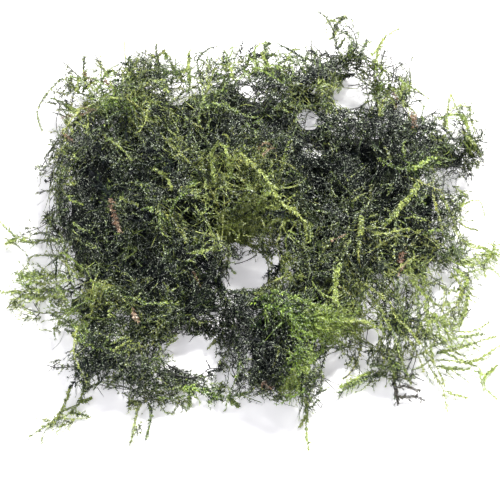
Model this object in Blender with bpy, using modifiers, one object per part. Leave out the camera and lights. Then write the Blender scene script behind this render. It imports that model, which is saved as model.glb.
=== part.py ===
"""Moss clump: a loose wet tangle of thin leafy moss shoots, lying flat.

Metres, +Z up.  The origin is on the surface that the clump lies on, below the middle
of its footprint.  Places are read from one reference view: a point is given by its
pixel in a 500 x 500 picture and by its height in millimetres, and at() turns the two
into a place, for an eye that looks down on the clump from the front.
"""
import math
import random
from dataclasses import dataclass

import bmesh
import bpy
from mathutils import Matrix, Vector

MM = 0.001

# The reference view: the scale at its centre, its distance and how far it looks down.
PICTURE_CENTRE_PX = (250.0, 250.0)
METRES_PER_PX = 0.28 * MM
VIEW_DISTANCE = 360 * MM
VIEW_ELEVATION = math.radians(60)
# The middle of the clump's footprint, from the point seen at the picture's centre.
FOOTPRINT_CENTRE = Vector((1.5 * MM, 5.6 * MM, 0.0))

# The tangle: the share of a lump's height at its widest point, how far a lump strays
# from its place in the rows and from its size, and the surface.
LUMP_WAIST = 0.4
LUMP_UNDERCUT = 0.06
LUMP_STRAY = 2.2 * MM
LUMP_VARIETY = 0.16
LUMP_DEPTH_GAIN = 1.3
LUMP_SUBDIVISIONS = 2
VOXEL = 0.9 * MM
NOISE_SIZE = 6.0 * MM
NOISE_DEPTH = 4.0 * MM
NOISE_OCTAVES = 2
MAT_TRIANGLES_KEPT = 0.04

# Tufts: shoot ends that stand out of the tangle all over.
TUFT_SEED = 11
TUFTS_PER_LUMP = 5
TUFT_LENGTH = (7.0 * MM, 11.0 * MM)
TUFT_RADIUS = 1.8 * MM
TUFT_TIP_RADIUS = 0.85 * MM
TUFT_SIDES = 6
TUFT_ROOT_DEPTH = 0.75
TUFT_RISE = (0.05, 0.9)
TUFT_LEAN = 1.1
TUFT_LEAN_ASIDE = (-1.0, 1.0)
TUFT_LEAN_UP = (-0.6, 0.2)

# Loose shoots: the gap that parts them from the tangle, and the clearance below.
JOINT_GAP = 0.45 * MM
FLOOR_CLEARANCE = 0.15 * MM
TIP_TAPER = 0.4
BRANCH_GIRTH = 0.85
ROUND_STEM_RADIUS = 0.65 * MM
WELD = 0.005 * MM
GROUND_CUTTER_SIZE = 300 * MM

# Lumps of the tangle: pixel, top height, half width and half depth in millimetres.
MAT_LUMPS = (
    (80, 102, 11, 6, 6), (113, 97, 14, 8, 7), (150, 88, 15, 9, 7), (187, 96, 16, 9, 7),
    (222, 90, 16, 9, 7), (257, 88, 16, 9, 7), (290, 84, 16, 8, 7), (322, 74, 14, 7, 4),
    (357, 68, 12, 8, 4), (386, 82, 12, 6, 6), (402, 112, 15, 7, 7), (312, 112, 18, 8, 7),
    (78, 142, 17, 7, 8), (112, 140, 21, 10, 9), (150, 132, 22, 10, 9), (190, 136, 22, 10, 9),
    (230, 132, 22, 10, 9), (270, 132, 22, 10, 9), (308, 146, 21, 9, 8), (345, 142, 20, 10, 7),
    (382, 145, 20, 10, 8), (418, 145, 18, 9, 7), (448, 148, 15, 8, 6), (466, 152, 12, 4, 4),
    (70, 190, 19, 5, 9), (102, 190, 24, 10, 9), (143, 186, 26, 10, 9), (183, 184, 27, 10, 9),
    (224, 180, 27, 10, 9), (264, 178, 26, 10, 9), (302, 190, 24, 9, 8), (342, 188, 22, 10, 8),
    (380, 190, 22, 10, 8), (414, 192, 19, 9, 8), (438, 208, 14, 5, 7),
    (76, 238, 16, 6, 8), (106, 238, 22, 9, 9), (145, 236, 25, 10, 9), (183, 228, 26, 10, 9),
    (218, 218, 24, 8, 7), (258, 214, 23, 9, 7), (300, 232, 22, 9, 8), (340, 236, 21, 10, 8),
    (380, 236, 20, 10, 8), (418, 238, 16, 9, 8), (446, 250, 11, 6, 6),
    (78, 284, 13, 8, 8), (112, 288, 18, 9, 9), (148, 286, 21, 9, 9), (184, 280, 22, 9, 8),
    (208, 268, 20, 4, 6), (288, 266, 18, 6, 7), (328, 280, 19, 9, 8), (368, 282, 16, 9, 8),
    (406, 282, 13, 9, 7), (436, 290, 10, 6, 7),
    (86, 330, 12, 6, 8), (150, 322, 14, 8, 4), (182, 312, 17, 7, 5), (216, 308, 15, 4, 4),
    (246, 322, 16, 7, 5), (284, 322, 19, 9, 8), (320, 328, 17, 8, 8), (356, 316, 13, 8, 6),
    (394, 322, 11, 8, 7), (426, 330, 8, 5, 6),
    (98, 362, 10, 4, 6), (122, 368, 12, 6, 6), (152, 388, 8, 6, 4), (254, 362, 15, 6, 8),
    (286, 360, 18, 8, 8), (302, 386, 13, 5, 5), (268, 384, 10, 7, 4), (392, 366, 7, 7, 4),
    (425, 354, 7, 6, 5),
)

# Hollows sunk into the tangle's top: pixel and height of the middle, half width, half
# depth and half height in millimetres.
MAT_HOLLOWS = (
    (93, 182, 24, 7, 7, 9), (318, 180, 23, 4.5, 9, 10), (372, 163, 22, 8, 8, 9),
    (279, 130, 23, 6, 4, 9), (186, 290, 21, 8, 8, 8), (257, 343, 18, 5.5, 7, 8),
    (148, 246, 25, 5, 8, 8),
)
HOLLOW_SUBDIVISIONS = 2

# The hole through the tangle, and the open bay in front of it, as ellipses in pixels.
OPEN_ELLIPSES_PX = ((245, 274, 20, 18), (196, 354, 38, 22), (352, 97, 15, 13))


@dataclass
class Shoot:
    """One loose shoot: a stem through route points, and branches from stem points.

    A route point is a pixel and a height in millimetres.  A branch is the number of
    the stem point that it leaves and its own further points.
    """

    name: str
    radius: float
    stem: tuple
    branches: tuple = ()


LEAFY_SHOOTS = (
    Shoot("shoot_back_left_arc", 0.75,
          ((80, 94, 10), (64, 79, 12), (52, 88, 10), (42, 101, 8), (37, 114, 6), (42, 131, 4)),
          ((3, ((56, 104, 8),)),)),
    Shoot("shoot_back_left_tip", 0.9, ((86, 86, 12), (84, 68, 14), (84, 56, 15))),
    Shoot("shoot_back_left_stem", 0.5, ((128, 86, 12), (126, 65, 13), (124, 40, 14))),
    Shoot("shoot_back_fan", 0.8, ((160, 72, 13), (157, 58, 14), (156, 44, 15)),
          ((1, ((165, 50, 14),)), (1, ((148, 55, 14),)))),
    Shoot("shoot_back_bright", 0.9, ((190, 84, 12), (189, 66, 13), (189, 51, 14))),
    Shoot("shoot_back_arch", 0.5,
          ((203, 84, 12), (197, 62, 12), (207, 50, 13), (221, 47, 14), (230, 62, 14))),
    Shoot("shoot_back_middle", 0.9, ((267, 72, 14), (266, 57, 15), (265, 44, 16)),
          ((1, ((275, 54, 15),)),)),
    Shoot("shoot_back_sprig", 0.7,
          ((349, 70, 9), (338, 50, 14), (333, 30, 17), (326, 17, 18), (318, 12, 18)),
          ((2, ((340, 20, 18), (347, 17, 18))), (1, ((345, 38, 16),)))),
    Shoot("shoot_back_right_blade", 0.7,
          ((374, 72, 12), (378, 52, 13), (385, 37, 14), (399, 29, 14))),
    Shoot("shoot_right_pale", 0.8, ((444, 130, 8), (447, 112, 9), (451, 94, 10)),
          ((1, ((458, 106, 9), (471, 107, 8))),)),
    Shoot("shoot_right_upper", 0.7,
          ((448, 214, 7), (468, 202, 6), (480, 201, 5), (485, 216, 2))),
    Shoot("shoot_right_hook", 0.8,
          ((452, 262, 6), (470, 265, 4), (485, 262, 4), (491, 251, 4))),
    Shoot("shoot_right_low", 0.5,
          ((448, 278, 3), (474, 271, 1.5), (490, 268, 2), (500, 277, 1.5))),
    Shoot("shoot_arc_outer", 1.0,
          ((452, 268, 7), (465, 277, 6), (468, 293, 5), (464, 312, 4), (459, 330, 4))),
    Shoot("shoot_arc_inner", 0.8,
          ((450, 272, 8), (461, 286, 5.5), (458, 303, 4), (448, 313, 3), (434, 322, 3))),
    Shoot("shoot_spray_top", 0.8,
          ((430, 348, 4), (441, 343, 3.5), (461, 337, 2.5), (485, 334, 2))),
    Shoot("shoot_spray_upper", 0.8,
          ((436, 354, 2.5), (455, 349, 2.2), (475, 343, 1.8), (496, 336, 1.5))),
    Shoot("shoot_spray_middle", 0.8,
          ((435, 360, 2), (455, 361, 1.6), (468, 363, 1.4), (483, 357, 1.4), (500, 345, 1.4))),
    Shoot("shoot_spray_lower", 0.7,
          ((437, 366, 2), (452, 369, 1.4), (470, 370, 1.2), (486, 376, 1.2), (483, 386, 1),
           (497, 399, 1)),
          ((3, ((497, 365, 1.4),)),)),
    Shoot("shoot_spray_front", 0.7,
          ((424, 356, 3), (434, 374, 2), (443, 390, 1.2), (448, 413, 1)),
          ((2, ((454, 395, 1), (468, 398, 1))),)),
    Shoot("shoot_front_right", 1.2,
          ((388, 372, 4), (364, 379, 3), (348, 388, 2.4), (339, 393, 2))),
    Shoot("shoot_front_curl", 0.7,
          ((360, 328, 8), (360, 352, 5.5), (352, 371, 3), (343, 379, 2))),
    Shoot("shoot_front_trail", 0.7,
          ((306, 400, 5), (307, 413, 3), (306, 430, 1.6), (309, 450, 1)),
          ((1, ((300, 427, 1.2),)),)),
    Shoot("shoot_front_left_trail", 0.6,
          ((140, 400, 4), (137, 412, 2.5), (134, 428, 1.5), (130, 446, 1))),
    Shoot("shoot_front_left_pair", 0.6,
          ((148, 402, 4), (151, 414, 2.5), (149, 428, 1.4), (146, 440, 1))),
    Shoot("shoot_front_left_hook", 0.6,
          ((158, 402, 3), (165, 412, 1.6), (174, 413, 1.4), (177, 402, 2))),
    Shoot("strand_front", 1.2,
          ((170, 390, 4), (190, 388, 4), (210, 394, 3.5), (228, 397, 3.6), (250, 392, 5)),
          ((1, ((189, 407, 1.2),)), (3, ((239, 407, 1.2),)))),
    Shoot("runner_front_left", 0.9,
          ((90, 376, 5), (84, 390, 4), (79, 403, 3), (70, 413, 2), (56, 421, 1.5), (42, 428, 1.2),
           (30, 437, 1)),
          ((3, ((88, 416, 1.2),)), (4, ((66, 402, 4), (70, 388, 6))), (2, ((92, 398, 2),)))),
    Shoot("frond_left_low", 1.1, ((66, 290, 6), (44, 291, 4), (22, 292, 3), (0, 292, 2))),
    Shoot("frond_left_middle", 1.1,
          ((66, 276, 8), (48, 276, 6), (32, 278, 5), (17, 279, 4))),
    Shoot("frond_left_upper", 1.1,
          ((64, 242, 8), (46, 240, 6), (30, 243, 5), (18, 238, 4), (8, 230, 4), (0, 222, 4)),
          ((3, ((5, 244, 2.5),)),)),
    Shoot("frond_left_hook", 0.5,
          ((66, 258, 4), (46, 255, 3), (33, 256, 2), (28, 259, 1.6), (29, 266, 1.4))),
)

BARE_TWIGS = (
    Shoot("twig_back_left", 0.5,
          ((102, 100, 9), (101, 82, 10), (101, 66, 11), (94, 53, 12), (88, 38, 13)),
          ((2, ((109, 74, 12),)),)),
    Shoot("twig_back_left_low", 0.4, ((82, 80, 11), (74, 72, 10), (63, 62, 10), (52, 56, 10))),
    Shoot("twig_back_black", 0.6, ((313, 66, 12), (311, 50, 14), (312, 37, 15))),
    Shoot("twig_back_hook", 0.5, ((356, 66, 9), (357, 48, 14), (355, 36, 15), (349, 26, 16))),
    Shoot("twig_back_right", 0.5,
          ((392, 82, 9), (394, 70, 14), (391, 60, 15), (389, 51, 15)),
          ((1, ((402, 64, 15),)),)),
    Shoot("twig_back_right_arc", 0.5,
          ((402, 90, 9), (414, 91, 9), (428, 98, 8), (440, 110, 6), (433, 124, 7))),
    Shoot("twig_right_red", 0.45, ((472, 148, 6), (482, 133, 6), (500, 114, 6))),
    Shoot("twig_right_dark", 0.8,
          ((440, 306, 2), (447, 319, 1.2), (456, 326, 1), (471, 309, 1.2))),
    Shoot("twig_front_right", 0.6,
          ((417, 350, 8), (415, 362, 6), (412, 374, 3), (424, 381, 1.6))),
    Shoot("stub_front_right", 0.9, ((399, 368, 6), (396, 391, 3), (397, 404, 1.8)),
          ((1, ((419, 391, 2),)), (1, ((411, 397, 1.6), (424, 400, 1.4))))),
    Shoot("twig_bay", 0.6,
          ((168, 372, 5), (184, 377, 4), (198, 377, 3), (210, 368, 3.5), (223, 369, 4),
           (242, 360, 6)),
          ((3, ((206, 360, 3),)),)),
    Shoot("twig_left_black", 0.6, ((92, 369, 2.5), (72, 367, 2), (57, 368, 1.5), (47, 365, 1.5))),
    Shoot("twig_left_long", 0.5,
          ((70, 313, 4), (57, 313, 3), (40, 313, 2), (25, 308, 1.6), (14, 302, 1.4), (5, 310, 1.2)),
          ((2, ((33, 302, 1.4),)), (2, ((32, 321, 1),)))),
    Shoot("twig_left_fork", 0.5,
          ((68, 216, 8), (53, 220, 6.5), (39, 228, 5), (22, 234, 4)), ((1, ((43, 211, 7),)),)),
    Shoot("twig_left_upper", 0.45, ((62, 134, 9), (52, 148, 8), (42, 167, 5))),
)

DEAD_SHOOTS = (
    Shoot("dead_shoot_left", 1.1, ((113, 196, 0), (115, 214, 0), (120, 231, 0))),
    Shoot("dead_shoot_right", 0.7, ((400, 262, 0), (406, 248, 0))),
    Shoot("dead_shoot_front", 0.7, ((262, 382, 0), (272, 388, 0))),
    Shoot("dead_shoot_front_left", 0.9, ((133, 308, 0), (138, 322, 0))),
)

MATERIALS = {
    "mat": ((0.045, 0.075, 0.03), 0.5),
    "leafy": ((0.2, 0.32, 0.06), 0.45),
    "twig": ((0.03, 0.03, 0.025), 0.5),
    "dead": ((0.3, 0.13, 0.05), 0.6),
}


def at(px, py, height):
    """The place at a height (metres) that the reference view sees at a pixel."""
    across = (px - PICTURE_CENTRE_PX[0]) * METRES_PER_PX
    up = (PICTURE_CENTRE_PX[1] - py) * METRES_PER_PX
    sine = math.sin(VIEW_ELEVATION)
    cosine = math.cos(VIEW_ELEVATION)
    eye = Vector((0.0, -VIEW_DISTANCE * cosine, VIEW_DISTANCE * sine))
    ray = Vector((across, VIEW_DISTANCE * cosine + up * sine, up * cosine - VIEW_DISTANCE * sine))
    return eye + ray * ((height - eye.z) / ray.z)


def seen_at(place):
    """The pixel at which the reference view sees a place: the inverse of at()."""
    sine = math.sin(VIEW_ELEVATION)
    cosine = math.cos(VIEW_ELEVATION)
    depth = VIEW_DISTANCE - place.z * sine + place.y * cosine
    up = place.y * sine + place.z * cosine
    scale = VIEW_DISTANCE / depth / METRES_PER_PX
    return PICTURE_CENTRE_PX[0] + place.x * scale, PICTURE_CENTRE_PX[1] - up * scale


def in_open_ground(place):
    """Whether a place is seen inside the hole, the bay or the gap in the tangle."""
    px, py = seen_at(place)
    return any(((px - cx) / rx) ** 2 + ((py - cy) / ry) ** 2 < 1.0
               for cx, cy, rx, ry in OPEN_ELLIPSES_PX)


def empty_scene():
    """Remove the objects that are there and make the two collections."""
    for old in list(bpy.data.objects):
        bpy.data.objects.remove(old, do_unlink=True)
    parts = bpy.data.collections.new("moss_clump")
    cutters = bpy.data.collections.new("cutters")
    for collection in (parts, cutters):
        bpy.context.scene.collection.children.link(collection)
    return parts, cutters


def make_material(name):
    """A wet Principled material in one of the named colours."""
    colour, roughness = MATERIALS[name]
    material = bpy.data.materials.new(name)
    material.use_nodes = True
    surface = material.node_tree.nodes["Principled BSDF"]
    surface.inputs["Base Color"].default_value = (*colour, 1.0)
    surface.inputs["Roughness"].default_value = roughness
    surface.inputs["Metallic"].default_value = 0.0
    return material


def add_object(name, mesh, collection, material=None):
    """Put a mesh into the scene as a named object."""
    thing = bpy.data.objects.new(name, mesh)
    collection.objects.link(thing)
    if material is not None:
        mesh.materials.append(material)
    return thing


def mark_as_cutter(thing):
    """Show a cutter as wire and keep it out of the model."""
    thing.hide_render = True
    thing.display_type = "WIRE"


def add_lump(tangle, row, chance):
    """Add one squashed ball of the tangle and return its middle and half sizes."""
    px, py, top, half_width, half_depth = row
    waist = top * MM * LUMP_WAIST
    stray = Vector((chance.uniform(-1.0, 1.0), chance.uniform(-1.0, 1.0), 0.0)) * LUMP_STRAY
    middle = at(px, py, waist) + stray
    half_sizes = Vector((half_width * MM, half_depth * MM * LUMP_DEPTH_GAIN,
                         top * MM * (1 - LUMP_WAIST + LUMP_UNDERCUT)))
    half_sizes *= 1.0 + chance.uniform(-LUMP_VARIETY, LUMP_VARIETY)
    matrix = Matrix.Translation(middle) @ Matrix.Diagonal((*half_sizes, 1.0))
    bmesh.ops.create_icosphere(tangle, subdivisions=LUMP_SUBDIVISIONS, radius=1.0, matrix=matrix)
    return middle, half_sizes


def add_tufts(tangle, middle, half_sizes, chance):
    """Add shoot ends as thin cones that leave a lump outwards and upwards."""
    for _ in range(TUFTS_PER_LUMP):
        turn = chance.uniform(0.0, math.tau)
        rise = chance.uniform(*TUFT_RISE)
        flat = math.sqrt(1.0 - rise * rise)
        outward = Vector((flat * math.cos(turn), flat * math.sin(turn), rise))
        root = middle + outward * half_sizes * TUFT_ROOT_DEPTH
        lean = Vector((chance.uniform(*TUFT_LEAN_ASIDE), chance.uniform(*TUFT_LEAN_ASIDE),
                       chance.uniform(*TUFT_LEAN_UP)))
        along = (outward + lean * TUFT_LEAN).normalized()
        length = chance.uniform(*TUFT_LENGTH)
        if in_open_ground(root + along * length):
            continue
        matrix = (Matrix.Translation(root + along * length / 2)
                  @ along.to_track_quat("Z", "Y").to_matrix().to_4x4())
        bmesh.ops.create_cone(tangle, cap_ends=True, segments=TUFT_SIDES, radius1=TUFT_RADIUS,
                              radius2=TUFT_TIP_RADIUS, depth=length, matrix=matrix)


def make_hollow_cutter(cutters):
    """The squashed balls that sink the hollows into the tangle."""
    balls = bmesh.new()
    for px, py, height, half_width, half_depth, half_height in MAT_HOLLOWS:
        half_sizes = Vector((half_width, half_depth, half_height)) * MM
        matrix = Matrix.Translation(at(px, py, height * MM)) @ Matrix.Diagonal((*half_sizes, 1.0))
        bmesh.ops.create_icosphere(balls, subdivisions=HOLLOW_SUBDIVISIONS, radius=1.0, matrix=matrix)
    mesh = bpy.data.meshes.new("hollow_cutter")
    balls.to_mesh(mesh)
    balls.free()
    cutter = add_object("hollow_cutter", mesh, cutters)
    mark_as_cutter(cutter)
    return cutter


def make_floor_cutter(cutters):
    """The block below the surface that the clump lies on."""
    lowered = Matrix.Translation((0.0, 0.0, -GROUND_CUTTER_SIZE / 2))
    block = bmesh.new()
    bmesh.ops.create_cube(block, size=GROUND_CUTTER_SIZE, matrix=lowered)
    mesh = bpy.data.meshes.new("ground_cutter")
    block.to_mesh(mesh)
    block.free()
    cutter = add_object("ground_cutter", mesh, cutters)
    mark_as_cutter(cutter)
    return cutter


def keep_largest_body(mesh):
    """Drop the crumbs that come loose from a mesh and keep its largest body."""
    graph = bmesh.new()
    graph.from_mesh(mesh)
    unseen = set(graph.verts)
    bodies = []
    while unseen:
        body = [unseen.pop()]
        for vertex in body:
            near = {edge.other_vert(vertex) for edge in vertex.link_edges} & unseen
            unseen -= near
            body.extend(near)
        bodies.append(body)
    bodies.sort(key=len)
    crumbs = [vertex for body in bodies[:-1] for vertex in body]
    bmesh.ops.delete(graph, geom=crumbs, context="VERTS")
    graph.to_mesh(mesh)
    graph.free()


def as_mesh(thing, name):
    """The mesh that an object's modifiers make."""
    evaluated = thing.evaluated_get(bpy.context.evaluated_depsgraph_get())
    mesh = bpy.data.meshes.new_from_object(evaluated)
    mesh.name = name
    mesh.materials.clear()
    return mesh


def make_mat(parts, cutters):
    """The dense tangle: lumps and tufts grown together, rough, hollowed, flat underneath."""
    chance = random.Random(TUFT_SEED)
    tangle = bmesh.new()
    for row in MAT_LUMPS:
        middle, half_sizes = add_lump(tangle, row, chance)
        add_tufts(tangle, middle, half_sizes, chance)
    mesh = bpy.data.meshes.new("mat_lumps")
    tangle.to_mesh(mesh)
    tangle.free()
    lumps = add_object("mat_lumps", mesh, cutters)

    together = lumps.modifiers.new("grown_together", "REMESH")
    together.mode = "VOXEL"
    together.voxel_size = VOXEL

    clouds = bpy.data.textures.new("tangle_noise", "CLOUDS")
    clouds.noise_scale = NOISE_SIZE
    clouds.noise_depth = NOISE_OCTAVES
    rough = lumps.modifiers.new("rough", "DISPLACE")
    rough.texture = clouds
    rough.texture_coords = "LOCAL"
    rough.strength = NOISE_DEPTH
    rough.mid_level = 0.5

    fewer = lumps.modifiers.new("fewer_faces", "DECIMATE")
    fewer.ratio = MAT_TRIANGLES_KEPT
    fewer.use_collapse_triangulate = True

    mesh = as_mesh(lumps, "mat")
    bpy.data.objects.remove(lumps, do_unlink=True)
    keep_largest_body(mesh)
    mat = add_object("mat", mesh, parts, make_material("mat"))
    sunk = mat.modifiers.new("hollows", "BOOLEAN")
    sunk.operation = "DIFFERENCE"
    sunk.object = make_hollow_cutter(cutters)
    flat = mat.modifiers.new("flat_underside", "BOOLEAN")
    flat.operation = "DIFFERENCE"
    flat.object = make_floor_cutter(cutters)
    return mat


def make_keepout(mat, cutters):
    """The tangle grown by the gap: what the loose shoots are cut back to."""
    keepout = add_object("mat_keepout", as_mesh(mat, "mat_keepout"), cutters)
    mark_as_cutter(keepout)
    grown = keepout.modifiers.new("gap", "DISPLACE")
    grown.strength = JOINT_GAP
    grown.mid_level = 0.0
    return keepout


def make_tube(name, places, start_radius, end_radius, collection):
    """A stem as a closed mesh: a curve with filled caps that tapers along its points."""
    curve = bpy.data.curves.new(name, "CURVE")
    curve.dimensions = "3D"
    curve.bevel_depth = start_radius
    curve.bevel_resolution = 1 if start_radius >= ROUND_STEM_RADIUS else 0
    curve.use_fill_caps = True
    spline = curve.splines.new("POLY")
    spline.points.add(len(places) - 1)
    for step, (point, place) in enumerate(zip(spline.points, places)):
        share = step / (len(places) - 1)
        point.co = (*place, 1.0)
        point.radius = 1.0 + (end_radius / start_radius - 1.0) * share
    bare = add_object(name + "_curve", curve, collection)
    mesh = as_mesh(bare, name)
    bpy.data.objects.remove(bare, do_unlink=True)
    weld = bmesh.new()
    weld.from_mesh(mesh)
    bmesh.ops.remove_doubles(weld, verts=weld.verts, dist=WELD)
    bmesh.ops.recalc_face_normals(weld, faces=weld.faces)
    weld.to_mesh(mesh)
    weld.free()
    return add_object(name, mesh, collection)


def combine(thing, other, operation):
    """Cut another object from a thing, or join it on."""
    step = thing.modifiers.new(other.name, "BOOLEAN")
    step.operation = operation
    step.object = other


def grow_shoot(shoot, places, material, keepout, parts, cutters):
    """One shoot: its stem with its branches joined on, cut back to the tangle."""
    radius = shoot.radius * MM
    tip_radius = radius * TIP_TAPER
    stem = make_tube(shoot.name, places, radius, tip_radius, parts)
    for number, (start, points) in enumerate(shoot.branches):
        share = start / (len(places) - 1)
        start_radius = (radius + (tip_radius - radius) * share) * BRANCH_GIRTH
        route = [places[start]] + [lifted(at(px, py, height * MM), start_radius)
                                   for px, py, height in points]
        branch = make_tube(f"{shoot.name}_branch_{number}", route, start_radius,
                           start_radius * TIP_TAPER, cutters)
        mark_as_cutter(branch)
        combine(stem, branch, "UNION")
    combine(stem, keepout, "DIFFERENCE")
    bpy.context.view_layer.update()
    mesh = as_mesh(stem, shoot.name)
    keep_largest_body(mesh)
    mesh.materials.append(material)
    stem.modifiers.clear()
    stem.data = mesh


def lifted(place, radius):
    """A place raised, if it has to be, to let a stem of that radius clear the ground."""
    return Vector((place.x, place.y, max(place.z, radius + FLOOR_CLEARANCE)))


def on_the_mat(keepout, px, py, radius):
    """The place seen at a pixel where a stem lies on top of the tangle."""
    ground = at(px, py, 0.0)
    eye = at(px, py, VIEW_DISTANCE / 2)
    sight = (ground - eye).normalized()
    evaluated = keepout.evaluated_get(bpy.context.evaluated_depsgraph_get())
    hit, place, _, _ = evaluated.ray_cast(eye, sight)
    return place - sight * radius if hit else ground


def main():
    """Build the tangle and every loose shoot."""
    parts, cutters = empty_scene()
    mat = make_mat(parts, cutters)
    bpy.context.view_layer.update()
    keepout = make_keepout(mat, cutters)
    for shoots, kind in ((LEAFY_SHOOTS, "leafy"), (BARE_TWIGS, "twig")):
        material = make_material(kind)
        for shoot in shoots:
            places = [lifted(at(px, py, height * MM), shoot.radius * MM)
                      for px, py, height in shoot.stem]
            grow_shoot(shoot, places, material, keepout, parts, cutters)
    bpy.context.view_layer.update()
    material = make_material("dead")
    for shoot in DEAD_SHOOTS:
        places = [on_the_mat(keepout, px, py, shoot.radius * MM) for px, py, _ in shoot.stem]
        grow_shoot(shoot, places, material, keepout, parts, cutters)
    middle = bpy.data.objects.new("footprint_centre", None)
    middle.location = -FOOTPRINT_CENTRE
    parts.objects.link(middle)
    for thing in [*parts.objects, *cutters.objects]:
        if thing is not middle:
            thing.parent = middle


main()
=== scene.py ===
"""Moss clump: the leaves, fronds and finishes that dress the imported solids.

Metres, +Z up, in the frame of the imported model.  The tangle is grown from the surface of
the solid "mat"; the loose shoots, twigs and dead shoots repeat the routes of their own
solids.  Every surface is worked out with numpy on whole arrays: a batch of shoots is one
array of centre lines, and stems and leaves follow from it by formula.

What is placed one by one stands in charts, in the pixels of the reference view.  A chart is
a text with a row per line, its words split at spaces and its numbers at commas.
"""
import logging
import math
from collections.abc import Iterator
from dataclasses import dataclass, field, replace
from enum import Enum

import bpy
import numpy as np
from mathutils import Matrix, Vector
from mathutils.bvhtree import BVHTree


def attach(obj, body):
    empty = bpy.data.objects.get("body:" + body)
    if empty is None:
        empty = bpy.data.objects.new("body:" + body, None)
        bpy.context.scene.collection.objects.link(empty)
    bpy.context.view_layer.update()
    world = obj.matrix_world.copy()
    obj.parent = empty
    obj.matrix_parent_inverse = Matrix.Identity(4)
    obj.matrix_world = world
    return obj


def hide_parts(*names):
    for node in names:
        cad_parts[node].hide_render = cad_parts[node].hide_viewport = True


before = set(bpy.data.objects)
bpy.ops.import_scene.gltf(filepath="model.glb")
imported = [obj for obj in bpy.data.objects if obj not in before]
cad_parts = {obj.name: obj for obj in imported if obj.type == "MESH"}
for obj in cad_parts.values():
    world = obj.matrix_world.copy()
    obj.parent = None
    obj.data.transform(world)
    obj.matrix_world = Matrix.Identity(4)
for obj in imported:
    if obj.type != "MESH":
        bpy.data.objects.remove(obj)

LOG = logging.getLogger("moss_clump")
MM = 0.001
SEED = 20
MAT = "mat"
BAKE_MAP = "OFBake"
GROWTH = "growth"
DOWN = np.array((0.0, 0.0, -1.0))
UPWARD = -DOWN
FLOOR_CLEARANCE = 0.25 * MM
LOWEST_VERTEX = 0.05 * MM
WIGGLE = 0.22
STRAND_LIFT = 2.2 * MM


@dataclass(frozen=True)
class ReferenceView:
    """The view that pixels and heights are read in: an eye that looks down on the clump."""

    centre_px: tuple[float, float] = (250.0, 250.0)
    width_px: int = 500
    metres_per_px: float = 0.28 * MM
    distance: float = 360 * MM
    elevation: float = math.radians(60)
    footprint_centre: tuple[float, float, float] = (1.5 * MM, 5.6 * MM, 0.0)

    @property
    def eye(self) -> np.ndarray:
        """The eye's place, before the footprint's centre is taken off."""
        return np.array((0.0, -self.distance * math.cos(self.elevation),
                         self.distance * math.sin(self.elevation)))

    def place(self, px: np.ndarray, py: np.ndarray, height: np.ndarray) -> np.ndarray:
        """The places seen at pixels where they are at heights.

        A ray runs from the eye through the pixel until it is down at the height.

        Args:
            px, py: pixel coordinates, numbers or arrays.
            height: heights above the ground in metres.

        Returns:
            An array of places, the last axis x, y, z.
        """
        sine, cosine = math.sin(self.elevation), math.cos(self.elevation)
        across = (np.asarray(px, float) - self.centre_px[0]) * self.metres_per_px
        up = (self.centre_px[1] - np.asarray(py, float)) * self.metres_per_px
        ray = np.stack((across, self.distance * cosine + up * sine,
                        up * cosine - self.distance * sine), -1)
        reach = (np.asarray(height, float) - self.eye[2]) / ray[..., 2]
        return self.eye + ray * reach[..., None] - np.array(self.footprint_centre)

    def pixel(self, places: np.ndarray) -> tuple[np.ndarray, np.ndarray]:
        """The pixels at which places are seen: the inverse of place().

        Args:
            places: the places, (..., 3).

        Returns:
            Their pixels, across and down.
        """
        sine, cosine = math.sin(self.elevation), math.cos(self.elevation)
        x, y, z = np.moveaxis(places + np.array(self.footprint_centre), -1, 0)
        scale = self.distance / (self.distance - z * sine + y * cosine) / self.metres_per_px
        return self.centre_px[0] + x * scale, self.centre_px[1] - (y * sine + z * cosine) * scale


VIEW = ReferenceView()


def chart_rows(chart: str) -> list[list[str]]:
    """The rows of a chart, each as its words.  A line that starts with # is a note."""
    return [line.split() for line in chart.strip().splitlines() if not line.startswith("#")]


def numbers(word: str) -> tuple[float, ...]:
    """The numbers in a word of a chart."""
    return tuple(float(number) for number in word.split(","))


class Tone(Enum):
    """How light a stretch of the tangle is, as a share from the darkest to the lightest."""

    VOID = 0.02
    DARK = 0.12
    SHADED = 0.27
    OLIVE = 0.46
    GREEN = 0.62
    BRIGHT = 0.78
    FRESH = 0.94


class Hue(Enum):
    """Which way the green leans: from brown over neutral to a saturated leaf green."""

    BROWN = -0.8
    DULL = -0.3
    NEUTRAL = 0.0
    YELLOW = 0.2
    GREEN = 0.5
    LEAFY = 1.0


@dataclass(frozen=True)
class Oval:
    """A soft oval of the picture, in pixels, and a share that goes with it."""

    px: float
    py: float
    half_width: float
    half_height: float
    share: float = 0.0

    def weight(self, px: np.ndarray, py: np.ndarray) -> np.ndarray:
        """Its weight at pixels: 1 in its middle, 0.37 at its rim, soon 0 outside."""
        across, down = (px - self.px) / self.half_width, (py - self.py) / self.half_height
        return np.exp(-(across ** 2 + down ** 2) ** 1.5)

    @classmethod
    def read(cls, chart: str) -> tuple["Oval", ...]:
        """The ovals of a chart: middle, half sizes and share."""
        return tuple(cls(*numbers(",".join(row))) for row in chart_rows(chart))


@dataclass(frozen=True)
class Patch:
    """A soft oval of the tangle with its tone, its hue and the way it grows.

    bearing is in degrees from the picture's right, anticlockwise, None for no one way.
    """

    oval: Oval
    tone: Tone
    hue: Hue = Hue.NEUTRAL
    bearing: float | None = None

    @classmethod
    def read(cls, chart: str) -> tuple["Patch", ...]:
        """The patches of a chart: middle, half sizes, tone, and hue and bearing if it has them."""
        return tuple(cls(Oval(*numbers(middle), *numbers(half)), Tone[tone],
                         *(Hue[hue] for hue in more[:1]), *(float(bearing) for bearing in more[1:]))
                     for middle, half, tone, *more in chart_rows(chart))


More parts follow.
